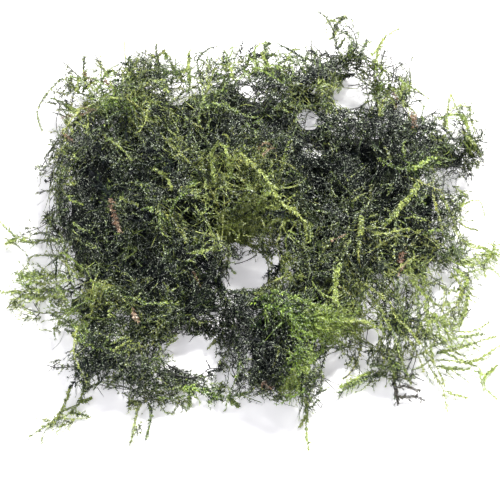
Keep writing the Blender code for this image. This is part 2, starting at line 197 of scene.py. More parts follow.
@dataclass(frozen=True)
class OpenGround:
    """The hole, the bay and the gaps in the tangle: ellipses in pixels with wavy edges.

    waves: how many waves run round an edge, and how deep they are as a share of its radius.
    rim_px: how far from an edge its rim growth roots.
    """

    ellipses: tuple[Oval, ...]
    waves: tuple[tuple[int, float], ...] = ((3, 0.12), (5, 0.10), (11, 0.07))
    rim_px: float = 22.0

    def holds(self, places: np.ndarray, widening: float = 0.0) -> np.ndarray:
        """Which places are seen inside the wavy edges.

        An edge is at radius 1 plus, for each wave, its depth times the sine of its turns.

        Args:
            places: the places, (..., 3).
            widening: how many pixels the ellipses are widened by.

        Returns:
            True for each place inside.
        """
        px, py = VIEW.pixel(places)
        inside = np.zeros(px.shape, bool)
        for one in self.ellipses:
            across = (px - one.px) / (one.half_width + widening)
            down = (py - one.py) / (one.half_height + widening)
            turn = np.arctan2(down, across)
            edge = 1.0 + sum(depth * np.sin(waves * turn + one.px) for waves, depth in self.waves)
            inside |= np.hypot(across, down) < edge
        return inside

    def near(self, places: np.ndarray) -> np.ndarray:
        """Which places are seen inside an edge or within its rim."""
        return self.holds(places, self.rim_px)


OPEN_GROUND = OpenGround(Oval.read("""
248,273 18,14
231,284 6,5
275,261 4,6
188,345 22,8
200,358 16,14
447,279 6,6
371,335 6,6
333,361 6,7
418,364 9,5
445,357 6,6
102,396 16,5
68,408 6,6
67,344 5,8
281,412 20,5
248,409 18,4
349,99 13,9
350,83 7,5
418,108 5,5
438,294 4,4
247,89 5,3
311,123 4,5
"""))


@dataclass(frozen=True)
class TangleMap:
    """Tone, hue, flow and cover of the tangle, blended from patches and thin ovals.

    Each patch in turn draws the tone and the hue towards its own by its weight, and each
    thin oval draws the cover down to its share.

    tone: where no patch lies.
    least_cover, cover_per_tone: how the growth of upper layers falls off in dark hollows.
    """

    patches: tuple[Patch, ...]
    thin_ovals: tuple[Oval, ...]
    tone: float = 0.46
    least_cover: float = 0.12
    cover_per_tone: float = 1.6

    def shade(self, px: np.ndarray, py: np.ndarray) -> tuple[np.ndarray, np.ndarray]:
        """The tone and hue at pixels.

        Args:
            px, py: pixels, arrays.

        Returns:
            The tones and the hues.
        """
        tone = np.full(np.shape(px), self.tone)
        hue = np.zeros(np.shape(px))
        for patch in self.patches:
            weight = patch.oval.weight(px, py)
            tone += (patch.tone.value - tone) * weight
            hue += (patch.hue.value - hue) * weight
        return tone, hue

    def cover(self, px: np.ndarray, py: np.ndarray) -> np.ndarray:
        """How much grows at pixels.

        Args:
            px, py: pixels, arrays.

        Returns:
            Shares of a dense stretch's growth.
        """
        cover = np.ones(np.shape(px))
        for oval in self.thin_ovals:
            cover += (np.minimum(cover, oval.share) - cover) * oval.weight(px, py)
        return cover

    def upper_cover(self, px: np.ndarray, py: np.ndarray) -> np.ndarray:
        """How much of the upper layers grows at pixels: less where the tangle is dark."""
        return np.clip(self.least_cover + self.cover_per_tone * self.shade(px, py)[0], 0.0, 1.0)

    def flow(self, px: np.ndarray, py: np.ndarray) -> np.ndarray:
        """The way shoots lie at pixels, by the bearings of the patches there.

        Args:
            px, py: pixels, arrays.

        Returns:
            Vectors in the picture, about 1 long in the middle of a patch that has a bearing.
        """
        sweep = np.zeros((*np.shape(px), 2))
        for patch in self.patches:
            if patch.bearing is not None:
                turn = math.radians(patch.bearing)
                sweep += patch.oval.weight(px, py)[..., None] * (math.cos(turn), math.sin(turn))
        return sweep


# Its DARK, SHADED and VOID patches are painted shade: hollows and growth under the fronds.
CHART = TangleMap(Patch.read("""
# Dark hollows, where the eye looks down between the fronds.
106,180 24,20 DARK
100,222 18,26 SHADED
150,225 20,14 SHADED
170,187 24,11 DARK
315,165 17,36 DARK
378,164 36,30 DARK
330,205 14,12 SHADED
402,194 14,14 DARK
170,286 24,22 SHADED
80,138 20,16 DARK
206,284 18,24 DARK
260,344 28,38 DARK
284,352 10,18 DARK
97,352 13,18 DARK
310,388 6,11 VOID
462,158 9,8 DARK BROWN
200,118 8,7 DARK
416,148 18,18 DARK
146,180 20,14 SHADED
220,350 16,20 DARK
248,306 22,8 DARK
352,130 30,11 DARK
293,148 16,18 DARK
432,132 12,8 SHADED
354,166 14,18 DARK
220,328 40,14 DARK
238,299 20,9 DARK
305,343 8,9 DARK
250,76 56,5 DARK
228,127 20,12 DARK
160,263 34,13 SHADED
92,330 12,11 DARK
86,203 16,14 DARK
62,160 8,16 SHADED
106,125 9,9 DARK
148,142 10,20 DARK
130,203 9,9 DARK
120,226 10,9 DARK
210,264 9,9 DARK
# Saturated and bright masses.
114,104 18,12 BRIGHT LEAFY
98,84 44,12 BRIGHT LEAFY
84,302 14,9 FRESH DULL
66,122 12,12 BRIGHT DULL
376,302 16,22 FRESH DULL -70
185,90 24,16 BRIGHT DULL
228,188 54,32 BRIGHT DULL 40
275,192 10,8 FRESH NEUTRAL 70
415,162 12,8 GREEN LEAFY
414,208 16,8 GREEN LEAFY 20
228,226 28,16 FRESH DULL -60
264,236 26,16 OLIVE DULL -60
284,264 16,26 GREEN DULL -80
414,262 26,28 BRIGHT DULL -70
406,292 34,18 BRIGHT DULL -70
350,268 10,20 BRIGHT DULL -70
312,140 7,20 OLIVE DULL
434,182 20,8 FRESH DULL
458,222 12,12 FRESH DULL
192,160 14,7 BRIGHT DULL
172,226 12,18 BRIGHT DULL
232,162 18,12 BRIGHT DULL
380,236 40,14 GREEN DULL
75,268 14,18 FRESH
296,312 34,12 GREEN LEAFY -30
322,324 36,14 FRESH LEAFY -20
302,362 12,22 GREEN LEAFY -90
299,398 12,12 FRESH LEAFY -80
338,297 7,28 FRESH NEUTRAL 90
360,334 24,12 FRESH DULL -60
80,338 9,8 BRIGHT GREEN
376,250 40,40 OLIVE DULL -70
438,325 50,50 BRIGHT NEUTRAL -20
50,302 30,30 BRIGHT LEAFY 180
58,186 10,22 GREEN DULL
112,292 32,9 FRESH DULL
148,330 8,14 GREEN DULL
150,395 16,9 GREEN GREEN -90
366,380 16,8 BRIGHT LEAFY -40
385,358 14,10 GREEN GREEN -30
225,62 80,12 FRESH LEAFY 90
386,85 16,12 BRIGHT LEAFY 70
455,115 12,16 GREEN GREEN 80
458,252 14,16 BRIGHT LEAFY 0
322,66 20,7 SHADED DULL
318,96 30,12 BRIGHT DULL
76,110 22,11 FRESH DULL
132,112 18,16 GREEN DULL
186,134 20,14 GREEN DULL
72,248 12,14 GREEN DULL
96,101 26,7 FRESH DULL
145,98 13,9 BRIGHT DULL
178,96 12,9 FRESH DULL
240,236 22,9 FRESH DULL
90,84 12,9 FRESH LEAFY
143,270 12,20 DARK
203,143 13,8 SHADED
354,173 16,18 DARK
312,186 10,11 DARK
390,210 10,8 DARK
272,126 16,11 DARK
386,127 13,8 DARK
70,207 9,12 DARK
117,247 9,14 DARK
150,284 9,14 DARK
92,162 22,8 DARK
228,192 9,11 OLIVE DULL
192,175 12,6 SHADED
104,252 9,8 DARK
418,194 18,7 DARK
380,284 9,8 OLIVE
347,218 20,7 SHADED
80,200 14,12 DARK
415,312 10,8 SHADED
337,123 12,8 DARK
282,300 24,6 SHADED LEAFY
138,108 14,14 BRIGHT DULL
284,222 20,12 BRIGHT DULL
282,270 9,16 FRESH DULL
240,162 20,10 FRESH DULL
388,117 15,10 DARK
304,322 34,9 FRESH LEAFY
430,156 12,10 DARK
424,208 20,6 SHADED
288,386 11,11 BRIGHT LEAFY
202,200 10,10 SHADED
235,188 12,6 OLIVE DULL
"""), Oval.read("""
392,62 30,22 0.15
444,106 30,22 0.12
230,50 95,13 0.35
256,93 14,8 0.15
368,78 14,14 0.15
186,82 18,14 0.3
270,60 32,8 0.04
308,71 8,6 0.2
68,102 20,20 0.12
94,84 24,12 0.1
452,356 42,48 0.33
484,228 20,62 0.35
446,276 14,18 0.05
28,270 26,40 0.25
56,262 14,22 0.1
110,390 22,16 0.1
280,408 44,13 0.02
230,392 12,24 0.1
332,354 14,24 0.08
367,332 15,12 0.08
416,362 30,14 0.12
416,302 22,20 0.4
378,300 14,26 0.3
412,266 18,24 0.55
350,97 20,13 0.25
118,322 5,6 0.3
268,240 18,10 0.4
281,270 9,17 0.05
309,121 8,8 0.3
312,153 7,4 0.15
279,96 6,4 0.15
444,128 12,6 0.3
247,60 10,9 0.05
318,87 16,5 0.1
470,150 12,9 0.45
379,60 6,10 0.1
154,350 9,6 0.3
115,331 5,7 0.2
366,342 8,6 0.2
439,296 9,10 0.1
226,286 8,8 0.06
428,370 7,7 0.05
416,105 20,13 0.1
176,97 10,8 0.2
60,346 12,34 0.12
66,404 18,20 0.06
98,400 20,12 0.1
370,384 26,8 0.12
204,78 16,16 0.15
438,183 14,9 0.12
122,68 20,10 0.08
412,352 30,16 0.05
460,222 12,14 0.3
354,76 18,7 0.05
28,276 10,6 0.05
50,190 8,36 0.35
66,344 10,13 0.04
432,354 28,20 0.15
404,288 16,7 0.3
434,306 10,12 0.2
217,380 10,10 0.08
104,396 28,9 0.05
424,114 12,9 0.06
402,110 16,7 0.25
72,286 10,13 0.3
78,372 7,7 0.03
126,388 9,8 0.1
"""))


def unit(vectors: np.ndarray) -> np.ndarray:
    """The vectors at length 1."""
    return vectors / np.maximum(np.linalg.norm(vectors, axis=-1, keepdims=True), 1e-12)


def place_in_scene(name: str, data: bpy.types.ID) -> bpy.types.Object:
    """Put new data into the scene, at the origin.

    Args:
        name: the object's name.
        data: its mesh, light or camera.

    Returns:
        The object.
    """
    thing = bpy.data.objects.new(name, data)
    bpy.context.scene.collection.objects.link(thing)
    return thing


def mark_growth(mesh: bpy.types.Mesh, marks: np.ndarray) -> None:
    """Write tone, hue and share of the way along a shoot into a mesh's growth attribute."""
    attribute = mesh.attributes.new(GROWTH, "FLOAT_VECTOR", "POINT")
    attribute.data.foreach_set("vector", marks.astype(np.float32).ravel())


@dataclass
class Shoots:
    """A batch of shoots, one row each: centre lines and what grows on them.

    points: centre lines, (shoots, points, 3).
    facing: the side that the flat of each shoot faces, (shoots, 3).
    girth: leaf and stem size at root and tip, as a share of a full shoot's, (shoots, 2).
    tone, hue: colour of each shoot, (shoots,), kept within their ranges.
    """

    points: np.ndarray
    facing: np.ndarray
    girth: np.ndarray
    tone: np.ndarray
    hue: np.ndarray

    def __post_init__(self) -> None:
        """Keep the colours within their ranges."""
        self.tone, self.hue = np.clip(self.tone, 0.0, 1.0), np.clip(self.hue, -1.0, 1.0)

    def __len__(self) -> int:
        """How many shoots the batch has."""
        return len(self.points)

    def only(self, kept: np.ndarray) -> "Shoots":
        """The shoots of the batch that are kept."""
        return Shoots(self.points[kept], self.facing[kept], self.girth[kept],
                      self.tone[kept], self.hue[kept])

    def taper(self, share: np.ndarray) -> np.ndarray:
        """The girth at shares of the way along each shoot."""
        return self.girth[:, :1] + (self.girth[:, 1:] - self.girth[:, :1]) * share

    def along(self, share: np.ndarray) -> tuple[np.ndarray, np.ndarray]:
        """Places and headings at shares of the way along each shoot.

        A share falls between two points of the line, and the place is their mean weighted
        by how near it is to each.

        Args:
            share: shares from 0 at the root to 1 at the tip, (shoots, n).

        Returns:
            The places and the headings, both (shoots, n, 3).
        """
        last = self.points.shape[1] - 1
        reach = np.clip(share, 0.0, 0.9999) * last
        step = reach.astype(int)
        rest = (reach - step)[..., None]
        rows = np.arange(len(self))[:, None]
        near, far = self.points[rows, step], self.points[rows, step + 1]
        return near + (far - near) * rest, unit(far - near)


@dataclass(frozen=True)
class LeafHabit:
    """How leaves sit on a shoot: in two rows, at an angle, folded along the middle.

    count: leaves on a shoot, none for a bare one.
    twist: how far the rows turn about the shoot over its length.
    stem_taper, tip_closing: how much the stem thins and the leaves close in at the tip.
    stem_tone, stem_spread: added to the stem's tone, and how much that strays.
    knobs: how uneven the stem is, as a share of its radius.
    """

    count: int
    length: float
    width: float = 0.36 * MM
    angle: float = math.radians(50)
    fold: float = 0.22
    stem_radius: float = 0.16 * MM
    twist: float = 1.2
    folded: bool = False
    stem_sides: int = 3
    stem_taper: float = 0.6
    stem_tone: float = -0.12
    stem_spread: float = 0.0
    knobs: float = 0.0
    tip_closing: float = 0.4


@dataclass(frozen=True)
class LeafChance:
    """How leaves and ribbons stray: pairs are a least and a greatest, or a mean and a spread.

    least_tone_share, tone_share_per_tone: how much the tone strays at tone 0, and per tone,
    so that it strays least where the tone is darkest and the painted shade stays dark.
    tone, painted_glint_share, painted_glint_tone: how the tone strays, and how many leaves are
    lightened by how much, as painted highlights.
    ribbon_turn, ribbon_twist: how a flat stem turns as a whole, and from point to point.
    """

    place: float = 0.4
    turn: float = 0.35
    angle: tuple[float, float] = (0.7, 1.3)
    lift: tuple[float, float] = (0.12, 0.25)
    size: tuple[float, float] = (0.75, 1.25)
    droop: tuple[float, float] = (-0.05, 0.2)
    tone: float = 0.28
    painted_glint_share: float = 0.12
    painted_glint_tone: float = 0.42
    ribbon_turn: float = 0.7
    ribbon_twist: float = 0.5
    least_tone_share: float = 0.35
    tone_share_per_tone: float = 1.3

    def liveliness(self, tone: np.ndarray) -> np.ndarray:
        """How much of the tone's variation shows at a tone."""
        return np.clip(self.least_tone_share + self.tone_share_per_tone * tone, 0.0, 1.0)


CHANCE = LeafChance()


@dataclass(frozen=True)
class LeafShape:
    """A leaf's corners, and where they lie in their shoot's cell of the bake map."""

    faces: tuple[tuple[int, int, int], ...]
    cell_along: tuple[float, ...]
    cell_across: tuple[float, ...]


BLADE = LeafShape(((0, 1, 2),), (0.0, 0.06, 0.02), (0.4, 0.7, 1.0))
KITE = LeafShape(((0, 1, 2), (0, 2, 3)), (0.0, 0.02, 0.06, 0.02), (0.35, 0.6, 0.8, 1.0))
KITE_MIDDLE = 0.42
STEM_ACROSS = 0.3
CELL_MARGIN = 0.08


@dataclass
class Growth:
    """Meshes of shoots, gathered as arrays and written out as one object."""

    rng: np.random.Generator
    places: list[np.ndarray] = field(default_factory=list)
    faces: list[np.ndarray] = field(default_factory=list)
    growth: list[np.ndarray] = field(default_factory=list)
    uvs: list[np.ndarray] = field(default_factory=list)
    corners: int = 0
    shoots: int = 0

    def _add(self, places: np.ndarray, faces: np.ndarray, growth: np.ndarray, uvs: np.ndarray) -> None:
        """Add a mesh of triangles.

        Args:
            places, growth, uvs: three numbers for each corner.
            faces: the corners of each triangle, numbered from the mesh's own first.
        """
        self.faces.append(faces.reshape(-1, 3) + self.corners)
        self.places.append(places.reshape(-1, 3))
        self.growth.append(growth.reshape(-1, 3))
        self.uvs.append(uvs.reshape(-1, 3))
        self.corners += places.size // 3

    def add(self, shoots: Shoots, habit: LeafHabit) -> None:
        """Give every shoot of a batch its stem and its leaves.

        Args:
            shoots: the batch.
            habit: how its leaves grow.
        """
        if len(shoots) == 0:
            return
        self._add_stems(shoots, habit)
        if habit.count:
            self._add_leaves(shoots, habit)
        self.shoots += len(shoots)

    @staticmethod
    def _sides(heading: np.ndarray, facing: np.ndarray,
               turn: np.ndarray) -> tuple[np.ndarray, np.ndarray]:
        """Two directions across a shoot: to its side and out of its flat.

        The side is square to the facing and the heading, and is turned about the heading.

        Args:
            heading, facing: the shoot's, (..., 3).
            turn: how far they are turned.

        Returns:
            The two directions.
        """
        side = unit(np.cross(facing, heading))
        out = np.cross(heading, side)
        turned = side * np.cos(turn)[..., None] + out * np.sin(turn)[..., None]
        return turned, np.cross(heading, turned)

    @staticmethod
    def _marks(shoots: Shoots, share: np.ndarray, extra: np.ndarray) -> np.ndarray:
        """Growth values of vertices: tone with an extra, hue and share of the way along."""
        tone = shoots.tone[:, None] + extra * CHANCE.liveliness(shoots.tone[:, None])
        return np.stack(np.broadcast_arrays(tone.clip(0.0, 1.0), shoots.hue[:, None], share), -1)

    def _uv(self, shoots: Shoots, share: np.ndarray, across: np.ndarray) -> np.ndarray:
        """Where vertices lie in their shoot's own cell: number of the cell, along, across."""
        cell = (self.shoots + np.arange(len(shoots)))[:, None]
        return np.stack(np.broadcast_arrays(cell.astype(float), share, across), -1)

    def _add_stems(self, shoots: Shoots, habit: LeafHabit) -> None:
        """Tapering tubes along the centre lines, knobbly if the habit says so.

        A point of the tube is the centre line's plus the radius times the cosine of its
        turn to the side and the sine out of the flat.  A stem of two sides is a flat
        ribbon that faces about the way the shoot does.

        Args:
            shoots: the batch.
            habit: how its stems grow.
        """
        count, points, _ = shoots.points.shape
        sides = habit.stem_sides
        ribbon = sides == 2
        share = np.broadcast_to(np.linspace(0.0, 1.0, points), (count, points))
        heading = unit(np.gradient(shoots.points, axis=1))
        turn = np.zeros((count, points))
        if ribbon:
            turn = (self.rng.normal(0.0, CHANCE.ribbon_turn, (count, 1))
                    + self.rng.normal(0.0, CHANCE.ribbon_twist, (count, points)))
        side, out = self._sides(heading, shoots.facing[:, None], turn)
        knobs = 1.0 + habit.knobs * self.rng.uniform(-1.0, 1.0, (count, points))
        size = shoots.taper(share) * (1.0 - habit.stem_taper * share) * knobs
        radius = (habit.stem_radius * size)[..., None, None]
        turns = np.arange(sides) * math.tau / sides + (0.0 if ribbon else math.pi / 2)
        ring = (side[:, :, None] * np.cos(turns)[:, None] + out[:, :, None] * np.sin(turns)[:, None])
        places = shoots.points[:, :, None] + ring * radius
        row = np.arange(points - 1)[:, None] * sides
        shown = np.arange(1 if ribbon else sides)
        low = (row + shown).ravel()
        nxt = (row + (shown + 1) % sides).ravel()
        faces = np.stack((low, nxt, nxt + sides, low, nxt + sides, low + sides), -1)
        faces = faces.reshape(-1, 3)[None] + (np.arange(count) * points * sides)[:, None, None]
        ring_share = np.repeat(share, sides, axis=1)
        across = np.tile(np.linspace(0.0, STEM_ACROSS, sides), points)
        extra = habit.stem_tone + self.rng.normal(0.0, habit.stem_spread, share.shape)
        self._add(places, faces, self._marks(shoots, ring_share, np.repeat(extra, sides, axis=1)),
                  self._uv(shoots, ring_share, across))

    def _add_leaves(self, shoots: Shoots, habit: LeafHabit) -> None:
        """Leaves in two rows along the shoot, each leaving it at the habit's angle.

        A folded leaf is a kite of four corners: its two middle corners stand off its midline
        by half its width, raised by the fold.  A plain one is a blade of three corners, as
        wide as the leaf at its base.

        Args:
            shoots: the batch.
            habit: how its leaves grow.
        """
        count = len(shoots)
        number = np.arange(habit.count)
        jitter = self.rng.uniform(-CHANCE.place, CHANCE.place, (count, habit.count))
        share = (number + 0.6 + jitter) / (habit.count + 0.2)
        base, heading = shoots.along(share)
        turn = habit.twist * (share - 0.5) + self.rng.normal(0.0, CHANCE.turn, share.shape)
        side, out = self._sides(heading, shoots.facing[:, None], turn)
        side *= np.where(number % 2 == 0, 1.0, -1.0)[:, None]
        angle = (habit.angle * self.rng.uniform(*CHANCE.angle, share.shape)
                 * (1.0 - habit.tip_closing * share ** 2))[..., None]
        lift = self.rng.normal(*CHANCE.lift, share.shape)[..., None]
        pointing = unit(heading * np.cos(angle) + side * np.sin(angle) + out * lift)
        across = unit(np.cross(out, pointing))
        normal = np.cross(pointing, across)
        size = shoots.taper(share) * self.rng.uniform(*CHANCE.size, share.shape)
        size = size * (1.0 - habit.tip_closing * share ** 3)
        length = (habit.length * size)[..., None]
        half = (habit.width * size)[..., None] / 2
        droop = self.rng.uniform(*CHANCE.droop, share.shape)[..., None]
        tip = base + pointing * length - normal * length * droop
        if habit.folded:
            shape = KITE
            middle = base + pointing * length * KITE_MIDDLE + normal * half * habit.fold * 2
            places = np.stack((base, middle - across * half, tip, middle + across * half), 2)
        else:
            shape = BLADE
            places = np.stack((base - across * half, tip, base + across * half), 2)
        corners = len(shape.cell_along)
        first = (np.arange(count * habit.count) * corners)[:, None, None]
        # painted highlights: a share of leaves made lighter at random
        painted_glints = np.where(self.rng.random(share.shape) < CHANCE.painted_glint_share, CHANCE.painted_glint_tone, 0.0)
        extra = self.rng.normal(0.0, CHANCE.tone, share.shape) + painted_glints
        spread = np.repeat(share, corners, axis=1)
        self._add(places, np.array(shape.faces)[None] + first,
                  self._marks(shoots, spread, np.repeat(extra, corners, axis=1)),
                  self._uv(shoots, np.clip(spread + np.tile(shape.cell_along, habit.count), 0, 1),
                           np.tile(shape.cell_across, habit.count)))

    def write(self, name: str) -> bpy.types.Object:
        """Write the growth out as one mesh, with its growth attribute and bake map.

        Args:
            name: the object's name.

        Returns:
            The object.
        """
        places = np.concatenate(self.places)
        places[:, 2] = np.maximum(places[:, 2], LOWEST_VERTEX)
        faces = np.concatenate(self.faces)
        mesh = bpy.data.meshes.new(name)
        mesh.vertices.add(len(places))
        mesh.vertices.foreach_set("co", places.astype(np.float32).ravel())
        mesh.loops.add(faces.size)
        mesh.loops.foreach_set("vertex_index", faces.astype(np.int32).ravel())
        mesh.polygons.add(len(faces))
        mesh.polygons.foreach_set("loop_start", np.arange(0, faces.size, 3, dtype=np.int32))
        mesh.update(calc_edges=True)
        mark_growth(mesh, np.concatenate(self.growth))
        self._write_map(mesh, faces)
        return place_in_scene(name, mesh)

    def _write_map(self, mesh: bpy.types.Mesh, faces: np.ndarray) -> None:
        """Lay each shoot into a square cell of its own: u along the shoot, v across it.

        Args:
            mesh: the mesh that gets the map.
            faces: its triangles.
        """
        uvs = np.concatenate(self.uvs)
        side = math.ceil(math.sqrt(max(self.shoots, 1)))
        corner = np.stack((uvs[:, 0] % side, uvs[:, 0] // side), -1) + CELL_MARGIN
        flat = (corner + (1.0 - 2.0 * CELL_MARGIN) * uvs[:, 1:]) / side
        layer = mesh.uv_layers.new(name=BAKE_MAP)
        layer.uv.foreach_set("vector", flat[faces.ravel()].astype(np.float32).ravel())


def grow_lines(roots: np.ndarray, headings: np.ndarray, bends: np.ndarray, lengths: np.ndarray,
               segments: int, droop: np.ndarray, wiggle: np.ndarray) -> np.ndarray:
    """Centre lines that leave their roots and bend as they go.

    Each step adds a share of the bend and of the droop to the heading, and its own wiggle.

    Args:
        roots, headings: starts, (n, 3).
        bends: what the heading turns towards over the whole length, (n, 3).
        lengths: (n,).
        segments: steps along a line.
        droop: how much a line bends down over its length, (n,).
        wiggle: what each step strays by, (n, segments, 3).

    Returns:
        Points, (n, segments + 1, 3).
    """
    points = np.empty((len(roots), segments + 1, 3))
    points[:, 0] = roots
    heading = unit(headings)
    pull = (bends + droop[:, None] * DOWN) / segments
    for step in range(segments):
        heading = unit(heading + pull + wiggle[:, step])
        points[:, step + 1] = points[:, step] + heading * (lengths / segments)[:, None]
    points[..., 2] = np.maximum(points[..., 2], FLOOR_CLEARANCE)
    return points


def neighbours(grid: np.ndarray, mode: str) -> list[np.ndarray]:
    """A grid as each of its points' four neighbours see it, padded as numpy's mode says."""
    padded = np.pad(grid, 1, mode=mode)
    return [padded[2:, 1:-1], padded[:-2, 1:-1], padded[1:-1, 2:], padded[1:-1, :-2]]


class MatSurface:
    """The surface of the solid tangle: where fronds root, and how high it stands.

    Heights are kept on a grid on the ground, as they are and smoothed.
    """

    GRID = 1.0 * MM
    MARGIN = 6 * MM
    SMOOTHINGS = 6
    RAY_START = 0.1
    SIGHT_START = 15 * MM
    SIGHT_STEPS = 14
    LOWEST_NORMAL = -0.35

    def __init__(self, node: bpy.types.Object) -> None:
        """Read the solid's triangles and measure its heights.

        Args:
            node: the solid's object.
        """
        mesh = node.data
        mesh.calc_loop_triangles()
        places = np.empty(len(mesh.vertices) * 3, np.float32)
        mesh.vertices.foreach_get("co", places)
        self.places = places.reshape(-1, 3).astype(float)
        corners = np.empty(len(mesh.loop_triangles) * 3, np.int32)
        mesh.loop_triangles.foreach_get("vertices", corners)
        self.faces = corners.reshape(-1, 3)
        a, b, c = np.moveaxis(self.places[self.faces], 1, 0)
        cross = np.cross(b - a, c - a)
        self.areas = np.linalg.norm(cross, axis=1) / 2
        self.normals = unit(cross)
        self.low = self.places.min(0)[:2] - self.MARGIN
        self.heights = self._measure_heights()
        self.smooth = self.heights.copy()
        for _ in range(self.SMOOTHINGS):
            self.smooth = (sum(neighbours(self.smooth, "edge")) + self.smooth) / 5
        self.slope = np.stack(np.gradient(self.smooth, self.GRID), -1)

    def _measure_heights(self) -> np.ndarray:
        """Measure the tangle by rays from above.

        Returns:
            Its top height at each point of the grid, 0 beside it.
        """
        tree = BVHTree.FromPolygons([Vector(p) for p in self.places],
                                    [tuple(f) for f in self.faces.tolist()])
        high = self.places.max(0)[:2]
        counts = np.ceil((high + self.MARGIN - self.low) / self.GRID).astype(int) + 1
        above = high.max() + self.RAY_START
        heights = np.zeros(counts)
        for cell in np.ndindex(*counts):
            x, y = self.low + self.GRID * np.array(cell)
            hit = tree.ray_cast(Vector((x, y, above)), Vector(DOWN))[0]
            heights[cell] = 0.0 if hit is None else hit.z
        return heights

    def _read(self, grid: np.ndarray, places: np.ndarray) -> np.ndarray:
        """Read a grid at the grid points nearest to places.

        Args:
            grid: values over the ground.
            places: the places, (..., 3).

        Returns:
            The values there.
        """
        cells = np.round((places[..., :2] - self.low) / self.GRID).astype(int)
        cells = np.clip(cells, 0, np.array(self.heights.shape) - 1)
        return grid[cells[..., 0], cells[..., 1]]

    def height(self, places: np.ndarray) -> np.ndarray:
        """Smoothed top height of the tangle above or below places."""
        return self._read(self.smooth, places)

    def seen_places(self, px: np.ndarray, py: np.ndarray, lift: np.ndarray,
                    least: np.ndarray) -> np.ndarray:
        """The places that are seen at pixels a lift above the tangle's smoothed top.

        Each place slides along its line of sight, half of the way that is left at a time.

        Args:
            px, py: pixels, arrays.
            lift: height above the smoothed top.
            least: the lowest height that a place may have.

        Returns:
            The places, the last axis x, y, z.
        """
        height = np.full(np.shape(px), self.SIGHT_START)
        for _ in range(self.SIGHT_STEPS):
            top = self.height(VIEW.place(px, py, height)) + lift
            height += 0.5 * (np.maximum(top, least) - height)
        return VIEW.place(px, py, height)

    def downhill(self, places: np.ndarray) -> np.ndarray:
        """Which way the tangle falls away at places, steeper is longer, up to 1."""
        slope = -self._read(self.slope, places)
        return slope / np.maximum(np.linalg.norm(slope, axis=-1, keepdims=True), 1.0)

    def scatter(self, count: int, rng: np.random.Generator) -> tuple[np.ndarray, np.ndarray]:
        """Random places on the surface, evenly by area, but none that face the ground.

        A place is a corner of its triangle plus random shares of the two sides there.

        Args:
            count: how many.
            rng: the source of chance.

        Returns:
            The places and their normals, both (count, 3).
        """
        weight = self.areas * (self.normals[:, 2] > self.LOWEST_NORMAL)
        rows = rng.choice(len(self.faces), count, p=weight / weight.sum())
        first, second = rng.random(count), rng.random(count)
        over = first + second > 1.0
        first[over], second[over] = 1.0 - first[over], 1.0 - second[over]
        a, b, c = np.moveaxis(self.places[self.faces[rows]], 1, 0)
        return a + (b - a) * first[:, None] + (c - a) * second[:, None], self.normals[rows]


Socket = bpy.types.NodeSocket
Colour = tuple[float, float, float]


@dataclass(frozen=True)
class Finish:
    """A wet moss finish: its colours from the darkest tone to the lightest, and its gloss.

    painted_glint: how much of the pale grain it has: painted highlights that stand in for the wet sheen.
    weave: how much it is crossed by thin matted stems.
    """

    name: str
    colours: tuple[Colour, ...]
    roughness: float
    coat: float
    specular: float
    painted_glint: float
    weave: float = 0.0


MOSS_COLOURS = (
    (0.002, 0.004, 0.008), (0.006, 0.012, 0.012), (0.034, 0.057, 0.025),
    (0.122, 0.172, 0.044), (0.275, 0.350, 0.082), (0.470, 0.545, 0.140),
)
WET_MOSS = Finish("wet_moss", MOSS_COLOURS, 0.32, 0.07, 0.18, 1.0)
DEEP_MOSS = Finish("deep_moss", MOSS_COLOURS, 0.5, 0.0, 0.12, 0.1)
MATTED_MOSS = Finish("matted_moss", MOSS_COLOURS, 0.6, 0.0, 0.1, 0.04, 0.6)
BARE_STEM = Finish("bare_stem", (
    (0.012, 0.011, 0.010), (0.030, 0.027, 0.018), (0.070, 0.058, 0.030),
    (0.130, 0.110, 0.055), (0.240, 0.210, 0.120)), 0.35, 0.3, 0.4, 0.1)
DEAD_MOSS = Finish("dead_moss", (
    (0.030, 0.015, 0.010), (0.110, 0.050, 0.027), (0.270, 0.135, 0.070),
    (0.470, 0.300, 0.185), (0.700, 0.570, 0.430)), 0.38, 0.3, 0.4, 0.15)


